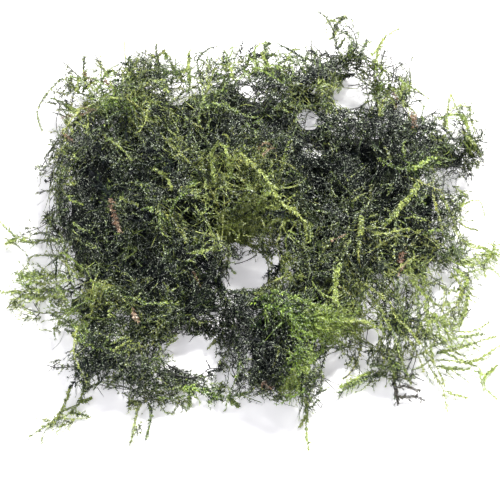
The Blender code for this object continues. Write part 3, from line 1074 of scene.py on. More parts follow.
@dataclass(frozen=True)
class NodeTree:
    """Adds nodes to a node tree by what they do."""

    tree: bpy.types.NodeTree

    def feed(self, socket: Socket, value: Socket | Colour | float) -> None:
        """Link a socket to another, or set it.

        Args:
            socket: the input.
            value: an output, a colour or a number.
        """
        if isinstance(value, Socket):
            self.tree.links.new(value, socket)
        else:
            socket.default_value = (*value, 1.0) if isinstance(value, tuple) else value

    def node(self, kind: str, feeds: dict[str, Socket | Colour | float] | None = None,
             **settings: str) -> bpy.types.Node:
        """A node of a kind.

        Args:
            kind: the node's type, without its first word.
            feeds: what its inputs are fed, by their names.
            settings: its properties.

        Returns:
            The node.
        """
        node = self.tree.nodes.new("ShaderNode" + kind)
        for name, value in settings.items():
            setattr(node, name, value)
        for name, value in (feeds or {}).items():
            self.feed(node.inputs[name], value)
        return node

    def growth(self) -> bpy.types.NodeOutputs:
        """Split the growth attribute.

        Returns:
            Its parts: tone at X, hue at Y, share of the way along at Z.
        """
        marks = self.node("Attribute", attribute_name=GROWTH)
        parts = self.node("SeparateXYZ")
        self.feed(parts.inputs[0], marks.outputs["Vector"])
        return parts.outputs

    def mix(self, factor: Socket, first: Socket | Colour, second: Colour | Socket,
            blend: str = "MIX") -> Socket:
        """Two colours mixed, or the first multiplied by the second, by a factor."""
        return self.node("Mix", {"Factor": factor, "A": first, "B": second},
                         data_type="RGBA", blend_type=blend).outputs["Result"]

    def ranged(self, value: Socket, low: float, high: float, share: float = 1.0) -> Socket:
        """A value as a share: 0 where it is low, rising evenly to the share where it is high."""
        return self.node("MapRange", {"Value": value, "From Min": low, "From Max": high,
                                      "To Min": 0.0, "To Max": share}).outputs["Result"]

    def math(self, operation: str, first: Socket, second: Socket | float = 0.0) -> Socket:
        """Work out an operation on one or two values.

        Args:
            operation: its name.
            first, second: the values.

        Returns:
            The result.
        """
        node = self.node("Math", operation=operation)
        for socket, value in zip(node.inputs, (first, second)):
            self.feed(socket, value)
        return node.outputs[0]

    def noise(self, scale: float, detail: float = 2.0, distortion: float = 0.0) -> Socket:
        """Noise on the object's own coordinates, scale in features per metre."""
        place = self.node("TexCoord").outputs["Object"]
        return self.node("TexNoise", {"Vector": place, "Scale": scale, "Detail": detail,
                                      "Distortion": distortion}).outputs["Fac"]


@dataclass(frozen=True)
class Tint:
    """A colour that multiplies another, as far as its share, as a cause runs from low to high."""

    colour: Colour
    share: float
    low: float
    high: float


@dataclass(frozen=True)
class MossShade:
    """The node group that all finishes share: colour, roughness and relief.

    The colour is tinted leaf green or brown by its hue, lighter towards the tips for fresh growth
    and for painted light through the thin tips, and with blotches and small shadows by noise.
    Pale specks of painted highlight go on last.  Scales are in features per metre.

    matted_stems, stem_range: the stems' two colours, and the noise that picks between them.
    painted_glint, painted_glint_range: the painted highlights' colour, and the grain they follow.
    warp, thread: how much the noise of the stems is warped, and how far it may be from its
        middle value at a stem's rim and at its core.
    """

    leafy: Tint = Tint((0.72, 1.0, 0.45), 0.75, 0.0, 1.0)
    brown: Tint = Tint((1.0, 0.78, 0.72), 0.85, 0.0, -1.0)
    # lighter towards the tips: fresh growth, and painted light shining through thin tips
    fresh_and_backlit_tips: Tint = Tint((1.35, 1.3, 0.95), 0.4, 0.5, 1.0)
    blotch: Tint = Tint((0.6, 0.62, 0.66), 0.5, 0.35, 0.7)
    shadow: Tint = Tint((0.18, 0.2, 0.24), 0.75, 0.5, 0.38)
    matted_stems: tuple[Colour, Colour] = ((0.02, 0.03, 0.022), (0.10, 0.13, 0.06))
    stem_range: tuple[float, float] = (0.35, 0.65)
    # painted highlights: the pale colour of the specks that stand in for the wet sheen
    painted_glint: Colour = (0.58, 0.64, 0.50)
    painted_glint_range: tuple[float, float] = (0.58, 0.67)
    blotch_scale: float = 420.0
    blotch_detail: float = 3.0
    grain_scale: float = 2600.0
    weave_scales: tuple[float, float] = (260.0, 520.0)
    warp: float = 1.5
    thread: tuple[float, float] = (0.04, 0.012)
    fine_weave: float = 0.7
    weave_height: float = 3.0
    grain_roughness: float = 0.3

    def _woven(self, tree: NodeTree, scale: float) -> Socket:
        """Thin crossing lines: where a warped noise is near its middle value."""
        off_middle = tree.math("SUBTRACT", tree.noise(scale, distortion=self.warp), 0.5)
        return tree.ranged(tree.math("ABSOLUTE", off_middle), *self.thread)

    def build(self) -> bpy.types.NodeTree:
        """Make the group: tints one by one, then matted stems, then painted highlights.

        Returns:
            The group.
        """
        group = bpy.data.node_groups.new("moss_shade", "ShaderNodeTree")
        for way, sockets in (("INPUT", ("Color", "Roughness", "PaintedGlint", "Weave")),
                             ("OUTPUT", ("Color", "Roughness", "Height"))):
            for name in sockets:
                kind = "NodeSocketColor" if name == "Color" else "NodeSocketFloat"
                group.interface.new_socket(name, in_out=way, socket_type=kind)
        tree = NodeTree(group)
        given = group.nodes.new("NodeGroupInput").outputs
        results = group.nodes.new("NodeGroupOutput").inputs
        _, hue, along = tree.growth()
        blotches = tree.noise(self.blotch_scale, self.blotch_detail)
        grain = tree.noise(self.grain_scale)

        colour = given["Color"]
        for cause, tint in ((hue, self.leafy), (hue, self.brown), (along, self.fresh_and_backlit_tips),
                            (blotches, self.blotch), (grain, self.shadow)):
            factor = tree.ranged(cause, tint.low, tint.high, tint.share)
            colour = tree.mix(factor, colour, tint.colour, "MULTIPLY")
        coarse, fine = (self._woven(tree, scale) for scale in self.weave_scales)
        weave = tree.math("MAXIMUM", coarse, tree.math("MULTIPLY", fine, self.fine_weave))
        weave = tree.math("MULTIPLY", weave, given["Weave"])
        stems = tree.mix(tree.ranged(blotches, *self.stem_range), *self.matted_stems)
        colour = tree.mix(weave, colour, stems)
        # painted highlights: pale specks where the grain noise is high
        painted_glints = tree.math("MULTIPLY", tree.ranged(grain, *self.painted_glint_range), given["PaintedGlint"])
        tree.feed(results["Color"], tree.mix(painted_glints, colour, self.painted_glint))
        rough = tree.math("MULTIPLY", grain, self.grain_roughness)
        tree.feed(results["Roughness"], tree.math("ADD", rough, given["Roughness"]))
        raised = tree.math("MULTIPLY", weave, self.weave_height)
        tree.feed(results["Height"], tree.math("ADD", grain, raised))
        return group


class Finishes:
    """Makes each finish once, as a material on the shared shading group."""

    COAT_ROUGHNESS = 0.12
    BUMP_STRENGTH = 0.35
    BUMP_DISTANCE = 0.1 * MM

    def __init__(self) -> None:
        """Make the shared group."""
        self.group = MossShade().build()
        self.made = {}

    def material(self, finish: Finish) -> bpy.types.Material:
        """The material of a finish, made when it is first asked for.

        Args:
            finish: the finish.

        Returns:
            The material.
        """
        if finish.name not in self.made:
            self.made[finish.name] = self._make(finish)
        return self.made[finish.name]

    def _make(self, finish: Finish) -> bpy.types.Material:
        """Make a material: tone picks the colour from a ramp, and the group shades it.

        Args:
            finish: its finish.

        Returns:
            The material.
        """
        material = bpy.data.materials.new(finish.name)
        material.use_nodes = True
        tree = NodeTree(material.node_tree)
        surface = material.node_tree.nodes["Principled BSDF"].inputs
        ramp = tree.node("ValToRGB", {"Fac": tree.growth()["X"]})
        stops = ramp.color_ramp.elements
        for index, colour in enumerate(finish.colours):
            share = index / (len(finish.colours) - 1)
            stop = stops[index] if index < 2 else stops.new(share)
            stop.position = share
            stop.color = (*colour, 1.0)
        shade = tree.node("Group")
        shade.node_tree = self.group
        for name, value in (("Color", ramp.outputs["Color"]), ("Roughness", finish.roughness),
                            ("PaintedGlint", finish.painted_glint), ("Weave", finish.weave)):
            tree.feed(shade.inputs[name], value)
        bump = tree.node("Bump", {"Strength": self.BUMP_STRENGTH, "Distance": self.BUMP_DISTANCE,
                                  "Height": shade.outputs["Height"]})
        for name, value in (("Base Color", shade.outputs["Color"]),
                            ("Roughness", shade.outputs["Roughness"]),
                            ("Normal", bump.outputs["Normal"]), ("Coat Weight", finish.coat),
                            ("Coat Roughness", self.COAT_ROUGHNESS),
                            ("Specular IOR Level", finish.specular)):
            tree.feed(surface[name], value)
        return material


class Slot(Enum):
    """The record's material slots."""

    TANGLE = "moss_tangle"
    LEAFY = "leafy_shoot"
    TWIG = "bare_twig"
    DEAD = "dead_shoot"


@dataclass(frozen=True)
class Workshop:
    """What every piece is grown with: the mat's surface, the finishes and the source of chance."""

    surface: MatSurface
    finishes: Finishes
    rng: np.random.Generator


@dataclass(frozen=True)
class Piece:
    """One piece of the clump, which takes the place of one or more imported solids."""

    name: str
    finish: Finish = field(default=WET_MOSS, kw_only=True)
    slot: Slot = field(default=Slot.TANGLE, kw_only=True)

    def nodes(self) -> tuple[str, ...]:
        """The names of the solids that it stands for."""
        return (MAT,)

    def grow(self, growth: Growth, workshop: Workshop) -> None:
        """Add its shoots to the growth."""
        raise NotImplementedError

    def shape(self, workshop: Workshop) -> bpy.types.Object:
        """Make its mesh: that of its growth, unless a class makes it another way.

        Args:
            workshop: what it is grown with.

        Returns:
            The piece, still without a finish.
        """
        growth = Growth(workshop.rng)
        self.grow(growth, workshop)
        return growth.write(self.name)

    def build(self, workshop: Workshop) -> bpy.types.Object:
        """Make the piece, with its finish, its body and its solids.

        Args:
            workshop: what it is grown with.

        Returns:
            The piece.
        """
        piece = self.shape(workshop)
        piece.data.materials.append(workshop.finishes.material(self.finish))
        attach(piece, "root")
        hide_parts(*self.nodes())
        return piece


@dataclass(frozen=True)
class FrondHabit:
    """How a frond branches: its axis, and side shoots in two rows.

    side_taper: how much shorter the side shoots are at the tip.
    curl: how much the axis bends aside.
    """

    axis_leaves: LeafHabit
    side_leaves: LeafHabit | None = None
    sides: int = 0
    side_length: tuple[float, float] = (0.0, 0.0)
    axis_length: tuple[float, float] = (0.0, 0.0)
    axis_segments: int = 6
    side_segments: int = 2
    side_angle: float = math.radians(48)
    side_taper: float = 0.65
    curl: float = 0.9


@dataclass(frozen=True)
class SideChance:
    """How side shoots stray: pairs are a least and a greatest, or a mean and a spread.

    place: as a share of the distance between two of them.
    kept: how many of them grow.
    root_length: length at an axis's root, as a share of the drawn length.
    bend, droop: towards the way of the axis, and down.
    girth: at their roots and tips, as a share of the axis's.
    tone: added to the axis's.
    """

    place: float = 0.3
    angle: tuple[float, float] = (0.7, 1.35)
    lift: tuple[float, float] = (0.05, 0.3)
    kept: float = 0.85
    root_length: float = 1.1
    bend: float = 0.5
    droop: float = 0.2
    girth: tuple[float, float] = (0.9, 0.6)
    tone: tuple[float, float] = (0.03, 0.06)


SIDES = SideChance()


def side_shoots(axes: Shoots, habit: FrondHabit, rng: np.random.Generator) -> Shoots:
    """Side shoots of fronds, shorter towards the tip, bent forwards.

    Each sets out along its axis turned by the side angle, to the left and right in turn.

    Args:
        axes: the fronds' axes.
        habit: how they branch.
        rng: the source of chance.

    Returns:
        The side shoots, without those that would reach into open ground.
    """
    count, sides = len(axes), habit.sides
    share = (np.arange(sides) + 0.7) / (sides + 0.3)
    share = share + rng.uniform(-SIDES.place, SIDES.place, (count, sides)) / sides
    base, heading = axes.along(share)
    side = unit(np.cross(axes.facing[:, None], heading))
    side *= np.where(np.arange(sides) % 2 == 0, 1.0, -1.0)[:, None]
    angle = (habit.side_angle * rng.uniform(*SIDES.angle, share.shape))[..., None]
    lift = axes.facing[:, None] * rng.normal(*SIDES.lift, share.shape)[..., None]
    out = unit(heading * np.cos(angle) + side * np.sin(angle) + lift)
    taper = axes.taper(share) * (SIDES.root_length - habit.side_taper * share)
    length = rng.uniform(*habit.side_length, share.shape) * taper
    kept = (rng.random(share.shape) < SIDES.kept).ravel()
    rows = np.repeat(np.arange(count), sides)[kept]
    wiggle = rng.normal(0.0, WIGGLE, (kept.sum(), habit.side_segments, 3))
    line = grow_lines(base.reshape(-1, 3)[kept], out.reshape(-1, 3)[kept],
                      heading.reshape(-1, 3)[kept] * SIDES.bend, length.ravel()[kept],
                      habit.side_segments, np.full(kept.sum(), SIDES.droop), wiggle)
    girth = axes.taper(share).ravel()[kept][:, None] * SIDES.girth
    tone = axes.tone[rows] + rng.normal(*SIDES.tone, len(rows))
    shoots = Shoots(line, axes.facing[rows], girth, tone, axes.hue[rows])
    return shoots.only(~OPEN_GROUND.holds(shoots.points[:, 1:]).any(1))


@dataclass(frozen=True)
class ShadedOldCore(Piece):
    """The oldest, matted stems in the middle of the tangle: a rough lump, near black as painted shade.

    Its top is the tangle's top height worn down by its narrowest tufts and lowered by the
    depth of the living fronds, with ridges of noise.  It lies below every line of sight
    that ends on open or thin ground, and nowhere rises by more than its steepest step from
    one grid point to the next.

    wear: how many times each height is brought down to the least of those around it.
    least: where the core would be lower, there is none.
    least_cover: the growth under which the ground is thin, as a share of a dense one.
    growth: its tone, hue and share of the way along a shoot; tone 0.03 is near black, painted shade.
    """

    wear: int = 3
    depth: float = 4.4 * MM
    steepest: float = 1.0 * MM
    slope_passes: int = 16
    ridges: float = 1.1 * MM
    least: float = 1.4 * MM
    base: float = 0.1 * MM
    least_cover: float = 0.5
    sight_step: float = 1.0 * MM
    growth: tuple[float, float, float] = (0.03, -0.4, 0.0)

    def _heights(self, surface: MatSurface,
                 rng: np.random.Generator) -> tuple[np.ndarray, np.ndarray]:
        """The core's grid on the ground, and its top there, 0 where there is none.

        Args:
            surface: the surface of the tangle.
            rng: the source of chance.

        Returns:
            The grid's x and y, (n, m, 2), and the heights, (n, m).
        """
        worn = surface.heights
        for _ in range(self.wear):
            padded = np.pad(worn, 1)
            worn = np.min([padded[1 + i:padded.shape[0] - 1 + i, 1 + j:padded.shape[1] - 1 + j]
                           for i in (-1, 0, 1) for j in (-1, 0, 1)], axis=0)
        ridges = rng.normal(0.0, 1.0, worn.shape)
        ridges = (sum(neighbours(ridges, "wrap")) + ridges) / 5
        top = worn - self.depth + ridges / ridges.std() * self.ridges
        x, y = (low + surface.GRID * np.arange(count)
                for low, count in zip(surface.low, worn.shape))
        grid = np.stack((*np.meshgrid(x, y, indexing="ij"), np.zeros(worn.shape)), -1)
        top = np.where(worn < self.depth, 0.0, top)
        for height in np.arange(top.max(), 0.0, -self.sight_step):
            grid[..., 2] = height
            thin = CHART.cover(*VIEW.pixel(grid)) < self.least_cover
            lowered = np.minimum(top, height - self.sight_step)
            top = np.where(OPEN_GROUND.holds(grid) | thin, lowered, top)
        for _ in range(self.slope_passes):
            top = np.minimum(top, np.minimum.reduce(neighbours(top, "constant")) + self.steepest)
        return grid[..., :2], np.where(top < self.least, 0.0, top)

    def shape(self, workshop: Workshop) -> bpy.types.Object:
        """The core as one closed mesh: top, flat base and the walls between them.

        The walls stand on those edges of the top's squares that no other square shares.

        Args:
            workshop: what it is grown with.

        Returns:
            The piece.
        """
        grid, top = self._heights(workshop.surface, workshop.rng)
        corners = np.s_[:-1, :-1], np.s_[1:, :-1], np.s_[1:, 1:], np.s_[:-1, 1:]
        filled = np.minimum.reduce([top[corner] for corner in corners]) > 0
        places = np.arange(top.size).reshape(top.shape)
        quads = np.stack([places[corner] for corner in corners], -1)[filled]
        edges = np.stack((quads, np.roll(quads, -1, axis=1)), -1).reshape(-1, 2)
        twins = {tuple(edge) for edge in edges.tolist()}
        rim = np.array([edge for edge in twins if edge[::-1] not in twins])
        rim = rim[np.lexsort((rim[:, 1], rim[:, 0]))]
        below = top.size
        walls = np.stack((rim[:, 0], rim[:, 0] + below, rim[:, 1] + below, rim[:, 1]), -1)
        faces = np.concatenate((quads, quads[:, ::-1] + below, walls))
        flat = grid.reshape(-1, 2)
        points = np.concatenate((np.column_stack((flat, top.ravel())),
                                 np.column_stack((flat, np.full(top.size, self.base)))))
        used, faces = np.unique(faces, return_inverse=True)
        mesh = bpy.data.meshes.new(self.name)
        mesh.from_pydata(points[used].tolist(), [], faces.reshape(-1, 4).tolist())
        mark_growth(mesh, np.tile(self.growth, (len(used), 1)))
        return place_in_scene(self.name, mesh)


@dataclass(frozen=True)
class FrondChance:
    """How fronds stray: pairs are a mean and a spread.

    chart_flow, downhill, edge_downhill: how much a frond's way follows the chart and the
        fall of the tangle, and how much more at its edge.
    lean: how much of the surface's normal and of straight up goes into the climb.
    beyond_backlit_tone, beyond_hue: added to a frond that lies wholly beyond the clump's edge;
    the lighter tone is fresh growth and painted light from the pale floor and through leaves.
    most_beyond: how much of a frond may lie beyond it.
    """

    climb: float = 0.28
    lean: tuple[float, float] = (0.7, 0.3)
    droop: tuple[float, float] = (0.55, 0.35)
    hue: float = 0.22
    facing: float = 0.5
    girth: float = 0.28
    tip_girth: float = 0.7
    chart_flow: float = 2.0
    downhill: float = 0.35
    edge_downhill: float = 1.1
    beyond_backlit_tone: float = 0.35
    beyond_hue: float = 0.6
    most_beyond: float = 0.38


FRONDS = FrondChance()


@dataclass(frozen=True)
class Layer(Piece):
    """One layer of the tangle: fronds rooted all over the solid's surface.

    habits: how its shoots branch, and how many of each.
    depth: least and greatest depth of the roots below the surface.
    rise: how steeply the shoots leave the surface, as a tangent.
    gain, shift: what the chart's tone is multiplied by, and what is added to it; low in deep layers, as
    painted shade.
    spread: how much the tone strays, where the chart is bright.
    upper: whether the layer thins out over dark hollows.
    rim: whether it grows round the open ground alone.
    tries, rim_tries: places tried for each frond.
    edge_heights: the height at which fronds begin to turn outwards, and how far below it
        they are fully turned.
    canopy, give: how far fronds rise freely above the tangle, and how much of any more
        height is taken back.
    edge_height: where the tangle is lower, a frond lies beyond its edge.
    """

    habits: tuple[tuple[FrondHabit, int], ...]
    depth: tuple[float, float]
    rise: float
    gain: float
    shift: float
    spread: float = 0.17
    upper: bool = False
    rim: bool = False
    tries: int = 4
    rim_tries: int = 60
    lowest_root: float = 0.6 * MM
    edge_heights: tuple[float, float] = (13 * MM, 9 * MM)
    canopy: float = 3.5 * MM
    give: float = 0.75
    edge_height: float = 2.5 * MM

    def _roots(self, workshop: Workshop, count: int) -> tuple[np.ndarray, np.ndarray]:
        """Where fronds start: below the surface, where the chart has growth.

        Args:
            workshop: what they are grown with.
            count: fronds to root.

        Returns:
            The places and the surface's normals there, both (n, 3), n up to the count.
        """
        rng = workshop.rng
        tries = (self.rim_tries if self.rim else self.tries) * count
        places, normals = workshop.surface.scatter(tries, rng)
        pixels = VIEW.pixel(places)
        cover = CHART.cover(*pixels)
        if self.upper:
            cover = cover * CHART.upper_cover(*pixels)
        if self.rim:
            cover = np.where(OPEN_GROUND.near(places), 1.0, 0.0)
        rows = np.flatnonzero(rng.random(tries) < cover)[:count]
        places, normals = places[rows], normals[rows]
        places = places - normals * rng.uniform(*self.depth, len(rows))[:, None]
        places[:, 2] = np.maximum(places[:, 2], self.lowest_root)
        return places, normals

    def _headings(self, workshop: Workshop, places: np.ndarray,
                  normals: np.ndarray) -> np.ndarray:
        """Which way fronds set out: along the surface, with the flow, somewhat outwards.

        A random way in the picture plus the chart's flow and the fall of the tangle is laid
        flat on the surface, and the rise tilts it up.

        Args:
            workshop: what they are grown with.
            places, normals: their roots and the surface's normals there, (n, 3).

        Returns:
            Directions, (n, 3).
        """
        count = len(places)
        px, py = VIEW.pixel(places)
        turn = workshop.rng.uniform(0.0, math.tau, count)
        sweep = np.stack((np.cos(turn), np.sin(turn)), -1) + FRONDS.chart_flow * CHART.flow(px, py)
        sweep[:, 1] /= math.sin(VIEW.elevation)
        high, span = self.edge_heights
        edge = np.clip((high - workshop.surface.height(places)) / span, 0.0, 1.0)
        fall = FRONDS.downhill + FRONDS.edge_downhill * edge
        sweep += workshop.surface.downhill(places) * fall[:, None]
        flat = np.concatenate((sweep, np.zeros((count, 1))), 1)
        flat -= normals * np.sum(flat * normals, 1, keepdims=True)
        climb = workshop.rng.normal(self.rise, FRONDS.climb, count)[:, None]
        outwards, up = FRONDS.lean
        return unit(unit(flat) + (normals * outwards + UPWARD * up) * climb)

    def _fronds(self, workshop: Workshop, habit: FrondHabit, count: int) -> tuple[Shoots, Shoots]:
        """Grow a batch of fronds.

        Args:
            workshop: what they are grown with.
            habit: how they branch.
            count: fronds to root.

        Returns:
            The axes and the side shoots, as two batches.
        """
        surface, rng = workshop.surface, workshop.rng
        places, normals = self._roots(workshop, count)
        count = len(places)
        heading = self._headings(workshop, places, normals)
        length = rng.uniform(*habit.axis_length, count)
        curl = rng.normal(0.0, habit.curl, count)
        aside = unit(np.cross(normals, heading)) * curl[:, None]
        droop = np.abs(rng.normal(*FRONDS.droop, count))
        wiggle = rng.normal(0.0, WIGGLE, (count, habit.axis_segments, 3))
        line = grow_lines(places, heading, aside, length, habit.axis_segments, droop, wiggle)
        tone, hue = CHART.shade(*VIEW.pixel(line.mean(1)))
        beyond = (surface.height(line) < self.edge_height).mean(1)
        stray = rng.normal(0.0, self.spread, count) * CHANCE.liveliness(tone)
        # fronds past the clump's edge are lightened: fresh growth, and painted light from the pale floor
        tone = self.gain * tone + self.shift + stray + FRONDS.beyond_backlit_tone * beyond
        hue = hue + rng.normal(0.0, FRONDS.hue, count) + FRONDS.beyond_hue * beyond
        flat = unit(normals + UPWARD + rng.normal(0.0, FRONDS.facing, (count, 3)))
        girth = np.exp(rng.normal(0.0, FRONDS.girth, (count, 1))) * (1.0, FRONDS.tip_girth)
        above = line[..., 2] - (surface.height(line) + self.canopy)
        line[..., 2] -= self.give * np.maximum(above, 0.0)
        axes = Shoots(line, flat, girth, tone, hue)
        axes = axes.only(~OPEN_GROUND.holds(axes.points).any(1)
                         & (beyond < rng.uniform(0.0, FRONDS.most_beyond, count)))
        return axes, side_shoots(axes, habit, rng)

    def grow(self, growth: Growth, workshop: Workshop) -> None:
        """Add the layer's fronds.

        Args:
            growth: what they are added to.
            workshop: what they are grown with.
        """
        for habit, count in self.habits:
            axes, sides = self._fronds(workshop, habit, count)
            growth.add(axes, habit.axis_leaves)
            growth.add(sides, habit.side_leaves)


FROND = FrondHabit(
    LeafHabit(count=54, length=0.68 * MM, width=0.3 * MM, angle=math.radians(44),
              stem_radius=0.11 * MM),
    LeafHabit(count=17, length=0.58 * MM, width=0.27 * MM, angle=math.radians(42),
              stem_radius=0.10 * MM, stem_sides=2),
    sides=8, side_length=(1.6 * MM, 4.6 * MM), axis_length=(8 * MM, 15 * MM))
SPRIG_LEAVES = LeafHabit(count=12, length=0.62 * MM, width=0.26 * MM, angle=math.radians(44),
                         stem_radius=0.10 * MM, stem_sides=2)
RUNNER = FrondHabit(
    LeafHabit(count=84, length=0.66 * MM, width=0.29 * MM, angle=math.radians(40),
              stem_radius=0.11 * MM),
    SPRIG_LEAVES, sides=7, side_length=(1.0 * MM, 3.0 * MM), axis_length=(12 * MM, 24 * MM),
    axis_segments=9, curl=1.5)
RIM_FROND = FrondHabit(SPRIG_LEAVES, SPRIG_LEAVES, sides=5, side_length=(1.0 * MM, 2.6 * MM),
                       axis_length=(2.5 * MM, 6 * MM), axis_segments=3)
DEEP_FROND = FrondHabit(
    LeafHabit(count=30, length=1.5 * MM, width=0.6 * MM, stem_radius=0.22 * MM),
    LeafHabit(count=12, length=1.3 * MM, width=0.5 * MM, stem_radius=0.18 * MM, stem_sides=2),
    sides=6, side_length=(3 * MM, 6 * MM), axis_length=(9 * MM, 15 * MM))
FIBRE = FrondHabit(
    LeafHabit(count=0, length=0.0, stem_radius=0.12 * MM, stem_sides=2, stem_taper=0.5,
              stem_tone=-0.08, stem_spread=0.28, knobs=0.4),
    axis_length=(4.0 * MM, 15.0 * MM), axis_segments=5, curl=1.6)
# Deeper layers get a lower gain and shift and come out darker: painted shade inside the tangle, with older,
# darker growth; the outer layer is lifted a little as the lit top.
LAYERS = (
    Layer("deep_tangle", ((DEEP_FROND, 200), (FROND, 150), (FIBRE, 900)), (2.5 * MM, 5.0 * MM),
          0.1, 0.35, -0.08, finish=DEEP_MOSS),
    Layer("inner_fronds", ((FROND, 190), (RUNNER, 160), (FIBRE, 1400)), (2.0 * MM, 4.0 * MM),
          0.12, 0.6, -0.10),
    Layer("lower_fronds", ((FROND, 220), (RUNNER, 210), (FIBRE, 2200)), (1.2 * MM, 3.0 * MM),
          0.15, 0.8, -0.10, upper=True),
    Layer("middle_fronds", ((FROND, 250), (RUNNER, 260), (FIBRE, 2400)), (0.6 * MM, 2.4 * MM),
          0.2, 0.95, -0.06, upper=True),
    Layer("outer_fronds", ((FROND, 250), (RUNNER, 280), (FIBRE, 2400)), (-0.4 * MM, 1.4 * MM),
          0.22, 1.0, 0.08, upper=True),
    Layer("rim_fronds", ((RIM_FROND, 300),), (0.0 * MM, 3.0 * MM), 0.2, 0.9, -0.08, rim=True),
)


class Wear(Enum):
    """What grows along a listed shoot."""

    FROND = "long side shoots"
    SPRIGS = "short side shoots"
    LEAVES = "leaves alone"
    SCRAPS = "a few last leaves on a bare stem"
    RAGGED = "long thin leaves that stand out"


class Look(Enum):
    """The looks of listed shoots: what grows along them, their tone and hue."""

    FRESH = (Wear.SPRIGS, Tone.FRESH, Hue.NEUTRAL)
    LIME = (Wear.SPRIGS, Tone.FRESH, Hue.YELLOW)
    BRIGHT = (Wear.SPRIGS, Tone.BRIGHT, Hue.NEUTRAL)
    LUSH = (Wear.SPRIGS, Tone.GREEN, Hue.GREEN)
    DRAPE = (Wear.SPRIGS, Tone.GREEN, Hue.LEAFY)
    PALE_DRAPE = (Wear.SPRIGS, Tone.FRESH, Hue.GREEN)
    GREEN = (Wear.SPRIGS, Tone.OLIVE, Hue.GREEN)
    OLIVE = (Wear.SPRIGS, Tone.OLIVE, Hue.DULL)
    # DARK: shoots darkened as painted shade, for growth deep in hollows and under fronds
    DARK = (Wear.SPRIGS, Tone.SHADED, Hue.NEUTRAL)
    BUSH = (Wear.FROND, Tone.BRIGHT, Hue.YELLOW)
    GREEN_BUSH = (Wear.FROND, Tone.OLIVE, Hue.GREEN)
    DARK_BUSH = (Wear.FROND, Tone.DARK, Hue.NEUTRAL)
    PALE_RIBBON = (Wear.LEAVES, Tone.BRIGHT, Hue.DULL)
    RIBBON = (Wear.LEAVES, Tone.BRIGHT, Hue.NEUTRAL)
    OLIVE_RIBBON = (Wear.LEAVES, Tone.OLIVE, Hue.NEUTRAL)
    BROWN_RIBBON = (Wear.LEAVES, Tone.OLIVE, Hue.BROWN)
    BLACK_STEM = (Wear.SCRAPS, Tone.VOID, Hue.NEUTRAL)
    STEM = (Wear.SCRAPS, Tone.SHADED, Hue.GREEN)
    PALE_STEM = (Wear.SCRAPS, Tone.BRIGHT, Hue.NEUTRAL)
    # BLACK_SPRIGS: shoots near black as painted shade, for the darkest hollows
    BLACK_SPRIGS = (Wear.SPRIGS, Tone.DARK, Hue.NEUTRAL)
    RED_SPRIGS = (Wear.RAGGED, Tone.OLIVE, Hue.DULL)
    TAN_SPRIGS = (Wear.RAGGED, Tone.BRIGHT, Hue.NEUTRAL)


ROUTE_LEAVES = LeafHabit(count=52, length=0.95 * MM, width=0.34 * MM, angle=math.radians(46),
                         folded=True, stem_radius=0.14 * MM, stem_taper=0.0, tip_closing=0.0)
ROUTE_FROND = FrondHabit(
    ROUTE_LEAVES,
    LeafHabit(count=16, length=0.85 * MM, width=0.32 * MM, stem_radius=0.12 * MM, folded=True,
              stem_sides=2),
    sides=8, side_length=(1.8 * MM, 3.8 * MM), side_taper=0.0)
ROUTE_HABITS = {
    Wear.FROND: ROUTE_FROND,
    Wear.SPRIGS: replace(ROUTE_FROND, sides=4, side_length=(0.9 * MM, 2.2 * MM)),
    Wear.LEAVES: FrondHabit(ROUTE_LEAVES),
    Wear.SCRAPS: FrondHabit(LeafHabit(
        count=9, length=0.7 * MM, width=0.26 * MM, stem_radius=0.19 * MM, stem_sides=5,
        stem_taper=0.0, knobs=0.3, tip_closing=0.0)),
    Wear.RAGGED: FrondHabit(
        LeafHabit(count=34, length=1.5 * MM, width=0.4 * MM, angle=math.radians(58), folded=True,
                  stem_radius=0.12 * MM, stem_taper=0.0, twist=5.0),
        LeafHabit(count=8, length=1.0 * MM, width=0.36 * MM, stem_radius=0.09 * MM),
        sides=5, side_length=(0.8 * MM, 2.0 * MM), side_taper=0.0),
}


@dataclass(frozen=True)
class RouteHabit:
    """How a listed route is cut into short shoots.

    spacing, steps: the steps along a route, and how many each shoot takes.
    curve_steps: points worked out between two points of the route.
    least_girth, girth_per_mm: girth at radius 0, and per millimetre of a solid's radius.
    tip_girth: girth at the route's tip, as a share of that at its root.
    tone, hue: how much these stray from route to route, and from shoot to shoot.
    facing: how much the shoots' flat sides stray from facing up.
    """

    spacing: float = 1.6 * MM
    steps: int = 5
    curve_steps: int = 12
    least_girth: float = 0.6
    girth_per_mm: float = 0.5
    tip_girth: float = 0.65
    tone: tuple[float, float] = (0.06, 0.08)
    hue: tuple[float, float] = (0.15, 0.06)
    facing: float = 0.25


ROUTES = RouteHabit()


def smooth_route(points: np.ndarray) -> np.ndarray:
    """A smooth curve through route points, read at even steps.

    A Catmull-Rom curve through the points, then points at equal shares of its length.

    Args:
        points: the route's points, (n, 3).

    Returns:
        The curve's points, about one spacing apart, (m, 3).
    """
    padded = np.concatenate((2 * points[:1] - points[1:2], points,
                             2 * points[-1:] - points[-2:-1]))
    share = np.linspace(0.0, 1.0, ROUTES.curve_steps, endpoint=False)[:, None]
    before, start, end, after = (padded[:-3, None], padded[1:-2, None],
                                 padded[2:-1, None], padded[3:, None])
    curve = 0.5 * (2 * start + (end - before) * share
                   + (2 * before - 5 * start + 4 * end - after) * share ** 2
                   + (3 * start - before - 3 * end + after) * share ** 3)
    curve = np.concatenate((curve.reshape(-1, 3), points[-1:]))
    lengths = np.linalg.norm(np.diff(curve, axis=0), axis=1)
    reach = np.concatenate(((0.0,), np.cumsum(lengths)))
    count = max(int(round(reach[-1] / ROUTES.spacing)), 2)
    marks = np.linspace(0.0, reach[-1], count + 1)
    return np.stack([np.interp(marks, reach, curve[:, axis]) for axis in range(3)], -1)


